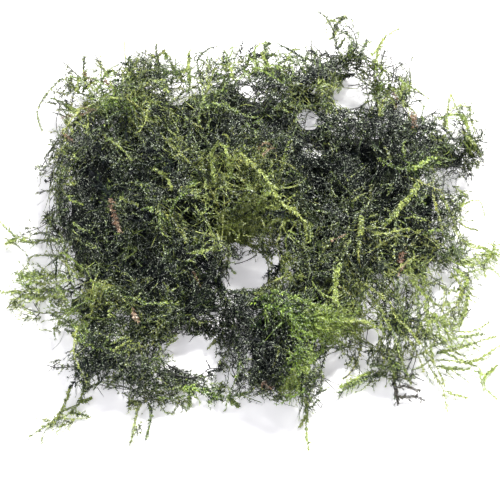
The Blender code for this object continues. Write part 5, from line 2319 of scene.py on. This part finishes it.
LEAFY_STRANDS = Strand.read("""
# Middle, upper half.
FRESH 1.15 239,153 250,162 260,171 268,180 274,191 281,203 290,209 299,216 306,226 306,243
FRESH 1.1 272,190 262,199 255,211 245,221 232,224 218,228
BRIGHT 0.9 308,220 312,231 309,243
FRESH 1 214,182 212,162 213,149 219,144 225,147 229,166
BRIGHT 0.8 214,181 221,177 229,176
LUSH 1.1 198,181 190,184 186,191 176,201 171,213 169,223
PALE_RIBBON 0.8 191,203 198,211 210,226
PALE_RIBBON 0.8 165,140 172,146 180,153 190,163
PALE_RIBBON 0.7 175,157 186,150 193,147
BRIGHT 0.7 283,166 286,150 290,139
PALE_RIBBON 0.55 275,160 290,165 300,173 311,180 312,190
PALE_RIBBON 0.55 280,188 292,187 302,182 308,175
BROWN_RIBBON 0.6 303,200 315,203 323,209 321,224 318,235
RIBBON 0.7 239,200 249,200 252,208 248,216
OLIVE 0.9 165,215 175,222 183,232 186,243
RIBBON 0.8 224,106 238,111 248,117 258,117
GREEN 0.7 249,119 244,127 242,134
GREEN 0.7 264,121 254,122 246,127
PALE_RIBBON 0.5 222,134 227,135 230,140
PALE_RIBBON 0.5 190,121 197,125 204,129
RIBBON 0.6 214,117 209,122 206,129
PALE_RIBBON 0.45 328,143 333,150 331,158
FRESH 0.8 150,168 160,172 168,180 172,190
BRIGHT 0.8 200,168 206,178 204,190 196,198
RIBBON 0.7 236,176 246,184 250,194
FRESH 0.8 282,218 270,224 262,234
# Back left.
PALE_RIBBON 0.6 103,134 108,139 116,144 124,151 132,161
GREEN 0.9 105,142 112,138 120,141
GREEN 0.8 99,132 107,134 116,133
PALE_RIBBON 0.6 160,132 164,138 170,141 178,139
PALE_RIBBON 0.6 168,130 174,134 179,139
LUSH 1.1 98,112 104,104 112,98 121,95
LUSH 1.1 104,116 112,108 122,104 130,100
LUSH 1 95,104 103,98 110,92 117,88
GREEN 1 107,121 116,114 126,110
BRIGHT 0.8 78,83 84,87 90,92 98,99
BRIGHT 0.7 84,82 93,88 101,94
BRIGHT 0.9,9 49,98 57,100 63,103 70,107 79,114
BROWN_RIBBON 0.5,9 51,91 60,93 67,94 74,98
OLIVE 0.8,9 72,75 71,84 70,94
BRIGHT 0.8,9 78,77 78,85 75,93
LUSH 0.7,10 67,80 73,76 80,80 84,86
BRIGHT 0.9 65,120 70,127 73,134
BRIGHT 0.9 63,104 70,110 76,114 83,121
FRESH 0.8 72,122 80,124 88,130
RIBBON 0.6,11 94,63 99,66 104,71 108,78
RIBBON 0.6,11 119,64 112,68 105,73
RIBBON 0.5,11 122,69 123,80 124,90
OLIVE 0.9,6 50,139 54,147 52,155 46,162
OLIVE 0.7,6 44,159 50,152 56,148
OLIVE 0.8,4 58,188 46,191 35,194
OLIVE 0.8,12 137,57 136,66 138,75 141,85
OLIVE 0.8,12 141,56 144,63 142,72 138,90
OLIVE 0.7,12 152,57 150,68 147,77 149,87
OLIVE 0.8,12 158,56 157,65 161,73 169,89
OLIVE 0.7,12 159,53 166,53 171,59 173,67 184,81
GREEN 0.7,12 130,61 132,70 130,79 133,88
GREEN 1.1,12 162,50 167,58 172,65 176,73
BRIGHT 0.7,11 128,92 130,80 127,70
# Back middle.
LIME 1,12 180,72 185,73 188,66 189,56
LUSH 0.8,12 194,81 197,72 202,63
OLIVE 0.7,12 210,57 216,65 224,62 240,57 248,56 262,63 276,75
RIBBON 0.6,12 222,68 230,64 238,62 247,63 258,75
FRESH 0.8,11 207,93 209,84 212,76 215,68
FRESH 0.8,12 227,60 231,70 233,80
LUSH 0.8,11 216,72 222,77 226,85 221,92
LIME 0.7,11 203,89 207,80 206,71
LIME 0.7,13 262,50 264,57 268,64 275,72
GREEN 1,15 262,44 266,46 270,43
FRESH 0.7,12 301,50 295,49 291,52 288,58 280,70
LUSH 0.7,11 309,51 305,60 302,69
LUSH 0.6,11 317,50 314,59 316,66
GREEN 0.8 282,100 292,104 304,106 316,104
LUSH 0.8 270,106 280,110 292,112
LUSH 0.9 322,96 326,104 334,108
BRIGHT 0.8 318,90 326,85 334,84
LUSH 0.9 340,74 341,84 338,94
DARK_BUSH 1.2 298,87 306,79 314,73 322,67 334,62 348,61
DARK_BUSH 1 262,84 276,86 290,86 300,84
# Back right.
OLIVE 1,17 334,19 340,18 346,16
LIME 0.9,17 325,25 330,20 337,22
OLIVE 1.2,16 338,26 335,33 332,39
RIBBON 0.5,16 327,28 326,35 331,41
RIBBON 0.4,14 336,38 350,39 367,38
LUSH 0.9,12 349,60 351,51 352,41
GREEN 0.9,12 344,62 348,56 350,48
GREEN 0.9,12 367,38 366,44 362,50 360,58
GREEN 0.6,12 373,41 366,43 357,47
LIME 1,13 372,56 377,50 381,43 386,36
LIME 0.9,10 372,60 376,66 378,73 374,81
LIME 0.8,10 381,65 383,71 379,79
OLIVE_RIBBON 0.5,11 413,56 411,62 409,69 405,84
LIME 0.7,9 398,78 404,83 410,88 417,90 429,99
BRIGHT 0.9 388,84 394,90 400,97 404,107
BRIGHT 0.8 384,92 391,98 396,107
LIME 0.9 404,84 401,92 403,101
LUSH 0.8 378,84 374,94 378,104
LUSH 0.7,9 424,105 422,114 424,123
FRESH 0.7,9 451,95 455,105 459,113
OLIVE 0.7,9 443,117 450,113 457,109 471,107
BRIGHT 0.8,8 470,107 470,115 472,124 476,134
LUSH 1.1,7 440,120 450,115 459,115 465,121 469,129 470,137
BRIGHT 0.6,8 447,118 448,130
LIME 0.8,8 463,114 466,122 468,132
# Right.
FRESH 1.4 418,182 412,194 404,203 396,213 384,226
LUSH 1 378,158 390,165 400,168 412,170
LUSH 0.9 400,160 405,155 402,148 405,140
LUSH 1.1 409,172 420,165 432,158 446,158
GREEN_BUSH 0.8 430,152 440,147 453,145
GREEN_BUSH 0.8 432,163 443,162 454,158
PALE_RIBBON 0.8 432,190 434,200 440,220 443,236
FRESH 0.9 440,195 447,206 452,216 455,228 462,240 475,245 488,250 493,259
LIME 0.9,3 461,239 470,247 482,248 492,252 497,261
RIBBON 0.5,5 455,213 465,209 472,203 481,200
OLIVE_RIBBON 0.5 350,178 357,172 365,167
RIBBON 0.45 343,173 348,181
OLIVE_RIBBON 0.5 331,180 332,190 336,197
OLIVE 0.8 372,200 365,207 357,213 355,222 349,243 341,260
BROWN_RIBBON 0.7 371,184 370,195 372,205
BRIGHT 1.3 360,215 362,228 360,240 359,258
PALE_RIBBON 0.4 369,217 377,214
PALE_RIBBON 0.4 370,223 378,221
PALE_RIBBON 0.4 371,229 379,227
PALE_RIBBON 0.4 371,236 379,234
PALE_RIBBON 0.6 380,238 390,235 400,230 406,232
PALE_RIBBON 0.6 418,241 428,246 438,249
LUSH 0.9 420,235 430,232 440,230 447,238
PALE_RIBBON 0.6 350,196 356,190 365,186
PALE_RIBBON 0.6 352,202 359,196 367,193
BROWN_RIBBON 0.7 383,145 388,152 391,160
LIME 0.8,5 463,141 470,150 474,160 478,169
BRIGHT 0.8,5 467,137 476,146 481,157
OLIVE 0.8 457,148 463,158 470,169
PALE_RIBBON 0.5,5 451,170 460,172 465,179
BRIGHT 0.8,4 452,186 462,192 470,200
FRESH 0.7,6 461,129 468,140 476,150
LIME 0.8,3 446,258 458,264 470,270 478,280
BRIGHT 0.8,3 458,222 468,228 478,230
# Left.
BRIGHT 0.6,2 2,237 8,240 14,243 20,248 25,252 29,259 26,267
LUSH 0.8,6 30,236 40,233 50,236 60,244
OLIVE_RIBBON 0.6,5 50,240 52,250 56,259
OLIVE 0.8 59,258 67,263 75,267
LIME 0.8,4 30,282 42,284 56,282 68,280
LIME 0.9,3 28,297 42,298 56,296 68,300
GREEN 0.9,3 50,315 60,317 71,323
LUSH 1 59,322 68,326 79,325
GREEN 1 64,330 73,332 83,330
LUSH 1.1 93,283 103,288 122,295 135,299 150,304 172,302
LUSH 0.9 140,210 150,208 158,212 173,228
OLIVE 0.9 62,160 58,170 60,182
BRIGHT 0.9 66,196 74,202 84,204
LUSH 0.9 72,222 82,230 94,232
BRIGHT 0.8 120,196 128,202 138,204
# Middle, lower half: the rim of the hole and the drape.
LUSH 0.9 225,262 230,268 236,274
LUSH 0.8 220,266 227,264 235,262
DRAPE 1.2 252,300 270,297 285,303 297,311 310,318 340,318
DRAPE 1.2 300,318 306,330 300,345 297,360 283,383
PALE_DRAPE 1.1 325,335 322,350 314,358 306,368 290,382
DRAPE 1.2 262,304 278,308 292,318 303,331
DRAPE 1.1 312,322 316,335 310,348 303,359
DRAPE 1.1 270,290 284,294 300,300 316,306 333,308
BRIGHT 0.9 254,292 262,294 274,300
PALE_RIBBON 0.5 279,349 277,358 273,367
PALE_RIBBON 0.5 279,348 287,350 293,354
BRIGHT 0.8 164,352 170,342 177,333
BRIGHT 0.8 164,345 172,343 178,338
BRIGHT 0.8 207,350 213,343 219,337
BRIGHT 0.8 158,325 158,335 151,346
OLIVE 0.9 190,318 200,322 212,322
# Front right.
FRESH 1.35 340,262 336,276 335,290 336,305 342,336
FRESH 0.95 355,282 370,296 385,318 398,345 402,360 411,385
BRIGHT 0.95 360,282 375,291 390,304 397,318 412,333 430,356 441,376 445,387
LIME 1.1 325,330 340,322 360,321 379,327
LIME 0.8,1.4 440,350 450,355 470,364 481,369 480,378 483,386
BRIGHT 0.7,2 412,370 421,367 431,359
LIME 0.9,3 425,300 427,315 428,330 433,361
BRIGHT 0.9,3 415,290 418,300 419,315 427,346
LIME 0.9,3 410,280 420,290 430,300 440,306 455,302
LIME 0.8,2 434,312 438,326 440,340
LIME 0.8,2 444,316 446,330 452,344
FRESH 0.8,2 400,330 410,342 420,360 424,372
LIME 0.8,2 450,330 462,332 476,330 490,322
FRESH 0.7,1.4 446,368 458,374 470,384
GREEN_BUSH 0.9 370,364 382,367 394,366 404,369
GREEN_BUSH 0.9 374,375 386,376 398,375
LIME 1,2.5 372,372 360,377 350,383 339,388
OLIVE 0.9 395,270 398,285 396,300 400,312
# Front left.
BRIGHT 0.7 109,345 118,340 127,336
BRIGHT 0.7 112,352 122,345 132,340
BRIGHT 0.6 114,358 124,351 134,346
GREEN_BUSH 0.8 148,382 158,386 170,388 184,390
GREEN_BUSH 0.8 149,394 160,397 172,399 185,396
OLIVE 0.8 154,378 165,381 177,382
BRIGHT 0.7,2.5 121,393 130,397 137,406
BRIGHT 0.7,1.5 59,418 75,419 91,417
BRIGHT 0.7,2 61,412 70,408 79,404
BRIGHT 0.6,1.2 42,445 44,432 56,424
OLIVE 0.7,2.5 89,388 97,383 105,381 116,383
LUSH 1 72,335 80,340 88,345 102,350 111,348
LUSH 0.9 75,324 78,335 76,344
LUSH 0.8 99,351 106,342 110,334
""")
STEM_STRANDS = Strand.read("""
BLACK_STEM 1 276,139 276,150 275,161
STEM 0.7,8 57,100 60,105 58,113 56,121 57,130 60,139
STEM 0.9 119,97 121,104 123,110 124,117
STEM 0.8,12 145,49 146,58 145,68 148,77
STEM 0.8,12 196,85 199,75 203,66 207,59
STEM 0.9 169,87 169,98 169,108 169,119
BLACK_STEM 1.3,12 239,84 247,85 253,87 265,93
BLACK_STEM 0.9,12 254,87 256,94 259,100
STEM 0.7,13 269,49 273,54 276,59 279,66
BLACK_STEM 0.8,14 313,45 318,50 323,55 329,57 334,54 337,39
STEM 0.6,15 340,26 349,26 352,31 357,32
BLACK_STEM 0.9,13 361,91 368,85 374,80 379,74 385,68 403,63
STEM 0.7,14 396,66 400,71 405,68
STEM 0.8,12 377,80 386,81 399,79
PALE_STEM 0.5,8 405,101 412,97 420,91
BLACK_STEM 0.8,11 366,87 368,95 368,102 370,110
BLACK_STEM 0.7,11 354,111 361,106 368,100
BLACK_STEM 0.7,11 375,104 380,98 386,93
BLACK_STEM 0.8,11 348,86 356,85 363,83
STEM 0.8 402,107 406,112 412,120
BLACK_STEM 0.8,7 454,123 459,129 466,131
STEM 0.7,5 456,178 456,191
STEM 0.7,5 37,228 42,233 48,232 53,236 58,243
STEM 0.7,3.5 57,257 50,263 45,268 39,275
STEM 0.8 65,291 75,286 85,281 92,276
STEM 0.5,2 14,301 25,292
BLACK_STEM 1.1 235,264 243,262 250,259 257,255
BLACK_STEM 0.9 221,270 226,278 230,286
BLACK_STEM 0.8 268,271 268,285 269,293
STEM 0.6,5 189,342 195,335 201,329
BLACK_STEM 0.8 210,325 218,335 225,343 232,352 233,366
BLACK_STEM 0.8,4 232,369 236,378 238,385 246,388
BLACK_STEM 0.8,4 320,349 320,360 321,372 322,386
BLACK_STEM 0.8,3 324,378 332,382 339,385
STEM 0.7,5 368,329 366,342 366,354
STEM 0.7,5 345,329 342,338 343,347
STEM 0.7,4 429,275 437,281 446,285
STEM 0.6,4 440,279 439,291
BLACK_STEM 0.7,4 151,351 160,360 170,366 180,371 201,378
BLACK_STEM 0.6,4 144,349 155,360 168,370 181,381
BLACK_STEM 0.6,4 149,364 160,377 173,387
STEM 0.5,2 97,387 104,397
STEM 0.5,2.5 99,384 110,387
STEM 0.6,3 67,352 81,349
STEM 0.6,3 68,361 79,359
STEM 0.6,1.4 443,374 462,382
STEM 0.6,2 437,366 451,368
STEM 0.6,2 316,402 324,412
STEM 0.6,2 325,380 346,401
""")
DEAD_STRANDS = Strand.read("""
TAN_SPRIGS 0.5 258,150 262,144 268,142 273,148
TAN_SPRIGS 0.5 262,157 267,150 275,148
TAN_SPRIGS 0.6 80,106 88,109 96,110
TAN_SPRIGS 0.5 79,116 88,112 95,109
RED_SPRIGS 0.5,8 59,119 66,117 72,115
RED_SPRIGS 0.6,11 84,72 88,79 91,85
RED_SPRIGS 0.5,11 86,78 92,79 98,78
RED_SPRIGS 0.9,11 103,81 108,83 112,86 113,92
RED_SPRIGS 0.7 61,132 67,136 73,142
RED_SPRIGS 0.6 393,92 397,100 395,109
RED_SPRIGS 0.8 411,111 413,120 418,128
RED_SPRIGS 0.7 418,111 414,120 412,128
TAN_SPRIGS 0.5 330,240 338,238 346,234
TAN_SPRIGS 0.6 408,261 402,268 398,276
RED_SPRIGS 0.4 192,271 197,279 201,287
TAN_SPRIGS 0.5 116,221 122,233
""")


@dataclass(frozen=True)
class Strands(Piece):
    """Some of the strands that stand out on the tangle."""

    strands: tuple[Strand, ...]

    def grow(self, growth: Growth, workshop: Workshop) -> None:
        """Add the strands."""
        for strand in self.strands:
            strand.grow(growth, workshop.surface, STRAND_LIFT)


@dataclass(frozen=True)
class LooseShoot:
    """One loose shoot as its solid has it: a stem through route points, and branches.

    A route point is a pixel and a height in millimetres.  A branch is the number of the
    stem point that it leaves and its own further points.  radius is in millimetres.
    """

    name: str
    look: Look
    radius: float
    stem: np.ndarray
    branches: tuple[tuple[int, np.ndarray], ...]

    @classmethod
    def read(cls, chart: str) -> tuple["LooseShoot", ...]:
        """Read a chart of loose shoots.

        Args:
            chart: rows of name, look, radius and stem, with a / before each branch.

        Returns:
            The shoots.
        """
        shoots = []
        for name, look, radius, *words in chart_rows(chart):
            stem, *branches = (part.split() for part in " ".join(words).split("/"))
            shoots.append(cls(name, Look[look], float(radius), points_of(stem), tuple(
                (int(start), points_of(points)) for start, *points in branches)))
        return tuple(shoots)

    @property
    def size(self) -> float:
        """Its girth, as a share of a full shoot's."""
        return ROUTES.least_girth + ROUTES.girth_per_mm * self.radius

    def routes(self) -> Iterator[np.ndarray]:
        """Its routes.

        Returns:
            The stem and then each branch, as arrays of places.
        """
        stem = self._places(self.stem)
        yield stem
        for start, points in self.branches:
            yield np.concatenate((stem[start][None], self._places(points)))

    @staticmethod
    def _places(points: np.ndarray) -> np.ndarray:
        """The places of route points."""
        px, py, height = points.T
        return VIEW.place(px, py, height * MM)


LEAFY_SHOOTS = LooseShoot.read("""
shoot_back_left_arc RIBBON 0.75 80,94,10 64,79,12 52,88,10 42,101,8 37,114,6 42,131,4 / 3 56,104,8
shoot_back_left_tip OLIVE 0.9 86,86,12 84,68,14 84,56,15
shoot_back_left_stem RIBBON 0.5 128,86,12 126,65,13 124,40,14
shoot_back_fan OLIVE 0.8 160,72,13 157,58,14 156,44,15 / 1 165,50,14 / 1 148,55,14
shoot_back_bright LIME 0.9 190,84,12 189,66,13 189,51,14
shoot_back_arch OLIVE_RIBBON 0.5 203,84,12 197,62,12 207,50,13 221,47,14 230,62,14
shoot_back_middle GREEN 0.9 267,72,14 266,57,15 265,44,16 / 1 275,54,15
shoot_back_sprig OLIVE 0.7 349,70,9 338,50,14 333,30,17 326,17,18 318,12,18 / 2 340,20,18 347,17,18 / 1 \
345,38,16
shoot_back_right_blade LIME 0.7 374,72,12 378,52,13 385,37,14 399,29,14
shoot_right_pale FRESH 0.8 444,130,8 447,112,9 451,94,10 / 1 458,106,9 471,107,8
shoot_right_upper RIBBON 0.7 448,214,7 468,202,6 480,201,5 485,216,2
shoot_right_hook LIME 0.8 452,262,6 470,265,4 485,262,4 491,251,4
shoot_right_low RIBBON 0.5 448,278,3 474,271,1.5 490,268,2 500,277,1.5
shoot_arc_outer LIME 1 452,268,7 465,277,6 468,293,5 464,312,4 459,330,4
shoot_arc_inner BRIGHT 0.8 450,272,8 461,286,5.5 458,303,4 448,313,3 434,322,3
shoot_spray_top LIME 0.8 430,348,4 441,343,3.5 461,337,2.5 485,334,2
shoot_spray_upper LIME 0.8 436,354,2.5 455,349,2.2 475,343,1.8 496,336,1.5
shoot_spray_middle FRESH 0.8 435,360,2 455,361,1.6 468,363,1.4 483,357,1.4 500,345,1.4
shoot_spray_lower LIME 0.7 437,366,2 452,369,1.4 470,370,1.2 486,376,1.2 483,386,1 497,399,1 / 3 497,365,1.4
shoot_spray_front FRESH 0.7 424,356,3 434,374,2 443,390,1.2 448,413,1 / 2 454,395,1 468,398,1
shoot_front_right GREEN_BUSH 1.2 388,372,4 364,379,3 348,388,2.4 339,393,2
shoot_front_curl BROWN_RIBBON 0.7 360,328,8 360,352,5.5 352,371,3 343,379,2
shoot_front_trail LIME 0.7 306,400,5 307,413,3 306,430,1.6 309,450,1 / 1 300,427,1.2
shoot_front_left_trail BRIGHT 0.6 140,400,4 137,412,2.5 134,428,1.5 130,446,1
shoot_front_left_pair LUSH 0.6 148,402,4 151,414,2.5 149,428,1.4 146,440,1
shoot_front_left_hook RIBBON 0.6 158,402,3 165,412,1.6 174,413,1.4 177,402,2
strand_front LUSH 1.2 170,390,4 190,388,4 210,394,3.5 228,397,3.6 250,392,5 / 1 189,407,1.2 / 3 239,407,1.2
runner_front_left BRIGHT 0.9 90,376,5 84,390,4 79,403,3 70,413,2 56,421,1.5 42,428,1.2 30,437,1 / 3 \
88,416,1.2 / 4 66,402,4 70,388,6 / 2 92,398,2
frond_left_low BUSH 1.1 66,290,6 44,291,4 22,292,3 0,292,2
frond_left_middle BUSH 1.1 66,276,8 48,276,6 32,278,5 17,279,4
frond_left_upper BUSH 1.1 64,242,8 46,240,6 30,243,5 18,238,4 8,230,4 0,222,4 / 3 5,244,2.5
frond_left_hook RIBBON 0.5 66,258,4 46,255,3 33,256,2 28,259,1.6 29,266,1.4
""")
BARE_TWIGS = LooseShoot.read("""
twig_back_left STEM 0.5 102,100,9 101,82,10 101,66,11 94,53,12 88,38,13 / 2 109,74,12
twig_back_left_low STEM 0.4 82,80,11 74,72,10 63,62,10 52,56,10
twig_back_black BLACK_STEM 0.6 313,66,12 311,50,14 312,37,15
twig_back_hook STEM 0.5 356,66,9 357,48,14 355,36,15 349,26,16
twig_back_right STEM 0.5 392,82,9 394,70,14 391,60,15 389,51,15 / 1 402,64,15
twig_back_right_arc STEM 0.5 402,90,9 414,91,9 428,98,8 440,110,6 433,124,7
twig_right_red PALE_STEM 0.45 472,148,6 482,133,6 500,114,6
twig_right_dark BLACK_STEM 0.8 440,306,2 447,319,1.2 456,326,1 471,309,1.2
twig_front_right STEM 0.6 417,350,8 415,362,6 412,374,3 424,381,1.6
stub_front_right DARK 0.9 399,368,6 394,378,4.5 395,388,3 397,396,2.2 398,404,1.8 / 2 405,386,2.6 \
412,389,2.2 420,391,2 / 3 405,398,1.8 413,396,1.6 425,400,1.4
twig_bay BLACK_STEM 0.6 168,372,5 184,377,4 198,377,3 210,368,3.5 223,369,4 242,360,6 / 3 206,360,3
twig_left_black BLACK_STEM 0.6 92,369,2.5 72,367,2 57,368,1.5 47,365,1.5
twig_left_long STEM 0.5 70,313,4 57,313,3 40,313,2 25,308,1.6 14,302,1.4 5,310,1.2 / 2 33,302,1.4 / 2 \
32,321,1
twig_left_fork STEM 0.5 68,216,8 53,220,6.5 39,228,5 22,234,4 / 1 43,211,7
twig_left_upper STEM 0.45 62,134,9 52,148,8 42,167,5
""")
DEAD_SHOOTS = LooseShoot.read("""
dead_shoot_left TAN_SPRIGS 1.1 110,199,0 112,209,0 115,220,0 119,231,0
dead_shoot_right RED_SPRIGS 0.7 399,263,0 402,256,0 406,248,0
dead_shoot_front TAN_SPRIGS 0.7 262,382,0 267,386,0 273,388,0
dead_shoot_front_left TAN_SPRIGS 0.9 132,307,0 134,315,0 138,322,0
""")


@dataclass(frozen=True)
class LooseShoots(Piece):
    """Loose shoots along the routes of their solids."""

    shoots: tuple[LooseShoot, ...]

    def nodes(self) -> tuple[str, ...]:
        """The names of the solids that it stands for."""
        return tuple(shoot.name for shoot in self.shoots)

    def grow(self, growth: Growth, workshop: Workshop) -> None:
        """Add the shoots.

        Args:
            growth: what they are added to.
            workshop: not used.
        """
        for shoot in self.shoots:
            for route in shoot.routes():
                grow_along(growth, route, shoot.size, shoot.look)


@dataclass(frozen=True)
class DeadShoots(LooseShoots):
    """The dead shoots on top of the tangle, and the small scraps between them."""

    scraps: tuple[Strand, ...]
    lift: float = 2.6 * MM

    def grow(self, growth: Growth, workshop: Workshop) -> None:
        """Add the shoots, which lie on the tangle as strands do, and the scraps.

        Args:
            growth: what they are added to.
            workshop: what they are grown with.
        """
        strands = [Strand(shoot.look, shoot.size, 0.0, shoot.stem[:, :2]) for shoot in self.shoots]
        for strand in (*strands, *self.scraps):
            strand.grow(growth, workshop.surface, self.lift)


@dataclass(frozen=True)
class RoundLight:
    """A round area light that shines at the clump."""

    name: str
    place: tuple[float, float, float]
    size: float
    power: float
    colour: Colour

    def build(self) -> None:
        """Add it, turned to the origin."""
        light = bpy.data.lights.new(self.name, "AREA")
        light.shape = "DISK"
        light.size = self.size
        light.energy = self.power
        light.color = self.colour
        thing = place_in_scene(self.name, light)
        thing.location = self.place
        thing.rotation_euler = (-Vector(self.place)).to_track_quat("-Z", "Y").to_euler()


@dataclass(frozen=True)
class Studio:
    """The pale floor, the lights, the world and the camera.

    floor_glow, glow_strength: the light that the floor gives off of its own.
    sensor_mm: width of the camera's sensor.
    """

    floor_half: float = 4.0
    floor_colour: Colour = (0.90, 0.90, 0.905)
    floor_glow: Colour = (0.98, 0.965, 1.0)
    glow_strength: float = 0.42
    floor_roughness: float = 0.9
    lights: tuple[RoundLight, ...] = (
        RoundLight("key_light", (0.35, 0.45, 0.85), 0.26, 24.0, (1.0, 0.985, 0.96)),
        RoundLight("fill_light", (-0.5, -0.5, 0.9), 0.7, 5.0, (0.95, 0.95, 1.0)))
    world_colour: Colour = (0.96, 0.95, 1.0)
    world_strength: float = 0.32
    sensor_mm: float = 36.0
    clip_start: float = 0.01

    def build(self) -> None:
        """Add them all."""
        self._floor()
        for light in self.lights:
            light.build()
        self._world()
        self._camera()

    def _floor(self) -> None:
        """A flat square under the clump."""
        half = self.floor_half
        mesh = bpy.data.meshes.new("floor")
        mesh.from_pydata([(-half, -half, 0), (half, -half, 0), (half, half, 0), (-half, half, 0)],
                         [], [(0, 1, 2, 3)])
        material = bpy.data.materials.new("pale_floor")
        material.use_nodes = True
        tree = NodeTree(material.node_tree)
        surface = material.node_tree.nodes["Principled BSDF"].inputs
        for name, value in (("Base Color", self.floor_colour),
                            ("Emission Color", self.floor_glow),
                            ("Emission Strength", self.glow_strength),
                            ("Roughness", self.floor_roughness), ("Specular IOR Level", 0.0)):
            tree.feed(surface[name], value)
        mesh.materials.append(material)
        place_in_scene("floor", mesh)

    def _world(self) -> None:
        """Even light from all round, and plain colours."""
        world = bpy.data.worlds.new("studio")
        world.use_nodes = True
        background = world.node_tree.nodes["Background"].inputs
        background["Color"].default_value = (*self.world_colour, 1.0)
        background["Strength"].default_value = self.world_strength
        bpy.context.scene.world = world
        bpy.context.scene.view_settings.view_transform = "Standard"

    def _camera(self) -> None:
        """The camera at the reference view's eye, as wide as its picture."""
        data = bpy.data.cameras.new("camera")
        data.sensor_width = self.sensor_mm
        data.lens = self.sensor_mm * VIEW.distance / (VIEW.width_px * VIEW.metres_per_px)
        data.clip_start = self.clip_start
        camera = place_in_scene("camera", data)
        camera.location = Vector(VIEW.eye - np.array(VIEW.footprint_centre))
        camera.rotation_euler = (math.pi / 2 - VIEW.elevation, 0.0, 0.0)
        bpy.context.scene.camera = camera


def main() -> None:
    """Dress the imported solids, and set up the studio."""
    logging.basicConfig(level=logging.INFO, format="%(name)s %(message)s")
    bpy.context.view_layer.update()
    surface = MatSurface(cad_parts[MAT])
    workshop = Workshop(surface, Finishes(), np.random.default_rng(SEED))
    for part in (
            ShadedOldCore("shaded_old_core", finish=MATTED_MOSS), *LAYERS,
            Tufts("tufts", TUFTS), Tufts("rim_tufts", RIM_TUFTS),
            Strands("standing_strands", LEAFY_STRANDS),
            Strands("old_stems", STEM_STRANDS, finish=BARE_STEM),
            LooseShoots("loose_shoots", LEAFY_SHOOTS, slot=Slot.LEAFY),
            LooseShoots("bare_twigs", BARE_TWIGS, finish=BARE_STEM, slot=Slot.TWIG),
            DeadShoots("dead_shoots", DEAD_SHOOTS, DEAD_STRANDS, finish=DEAD_MOSS,
                       slot=Slot.DEAD)):
        piece = part.build(workshop)
        LOG.info("%s: %d faces", piece.name, len(piece.data.polygons))
    Studio().build()


if __name__ == "__main__":
    main()
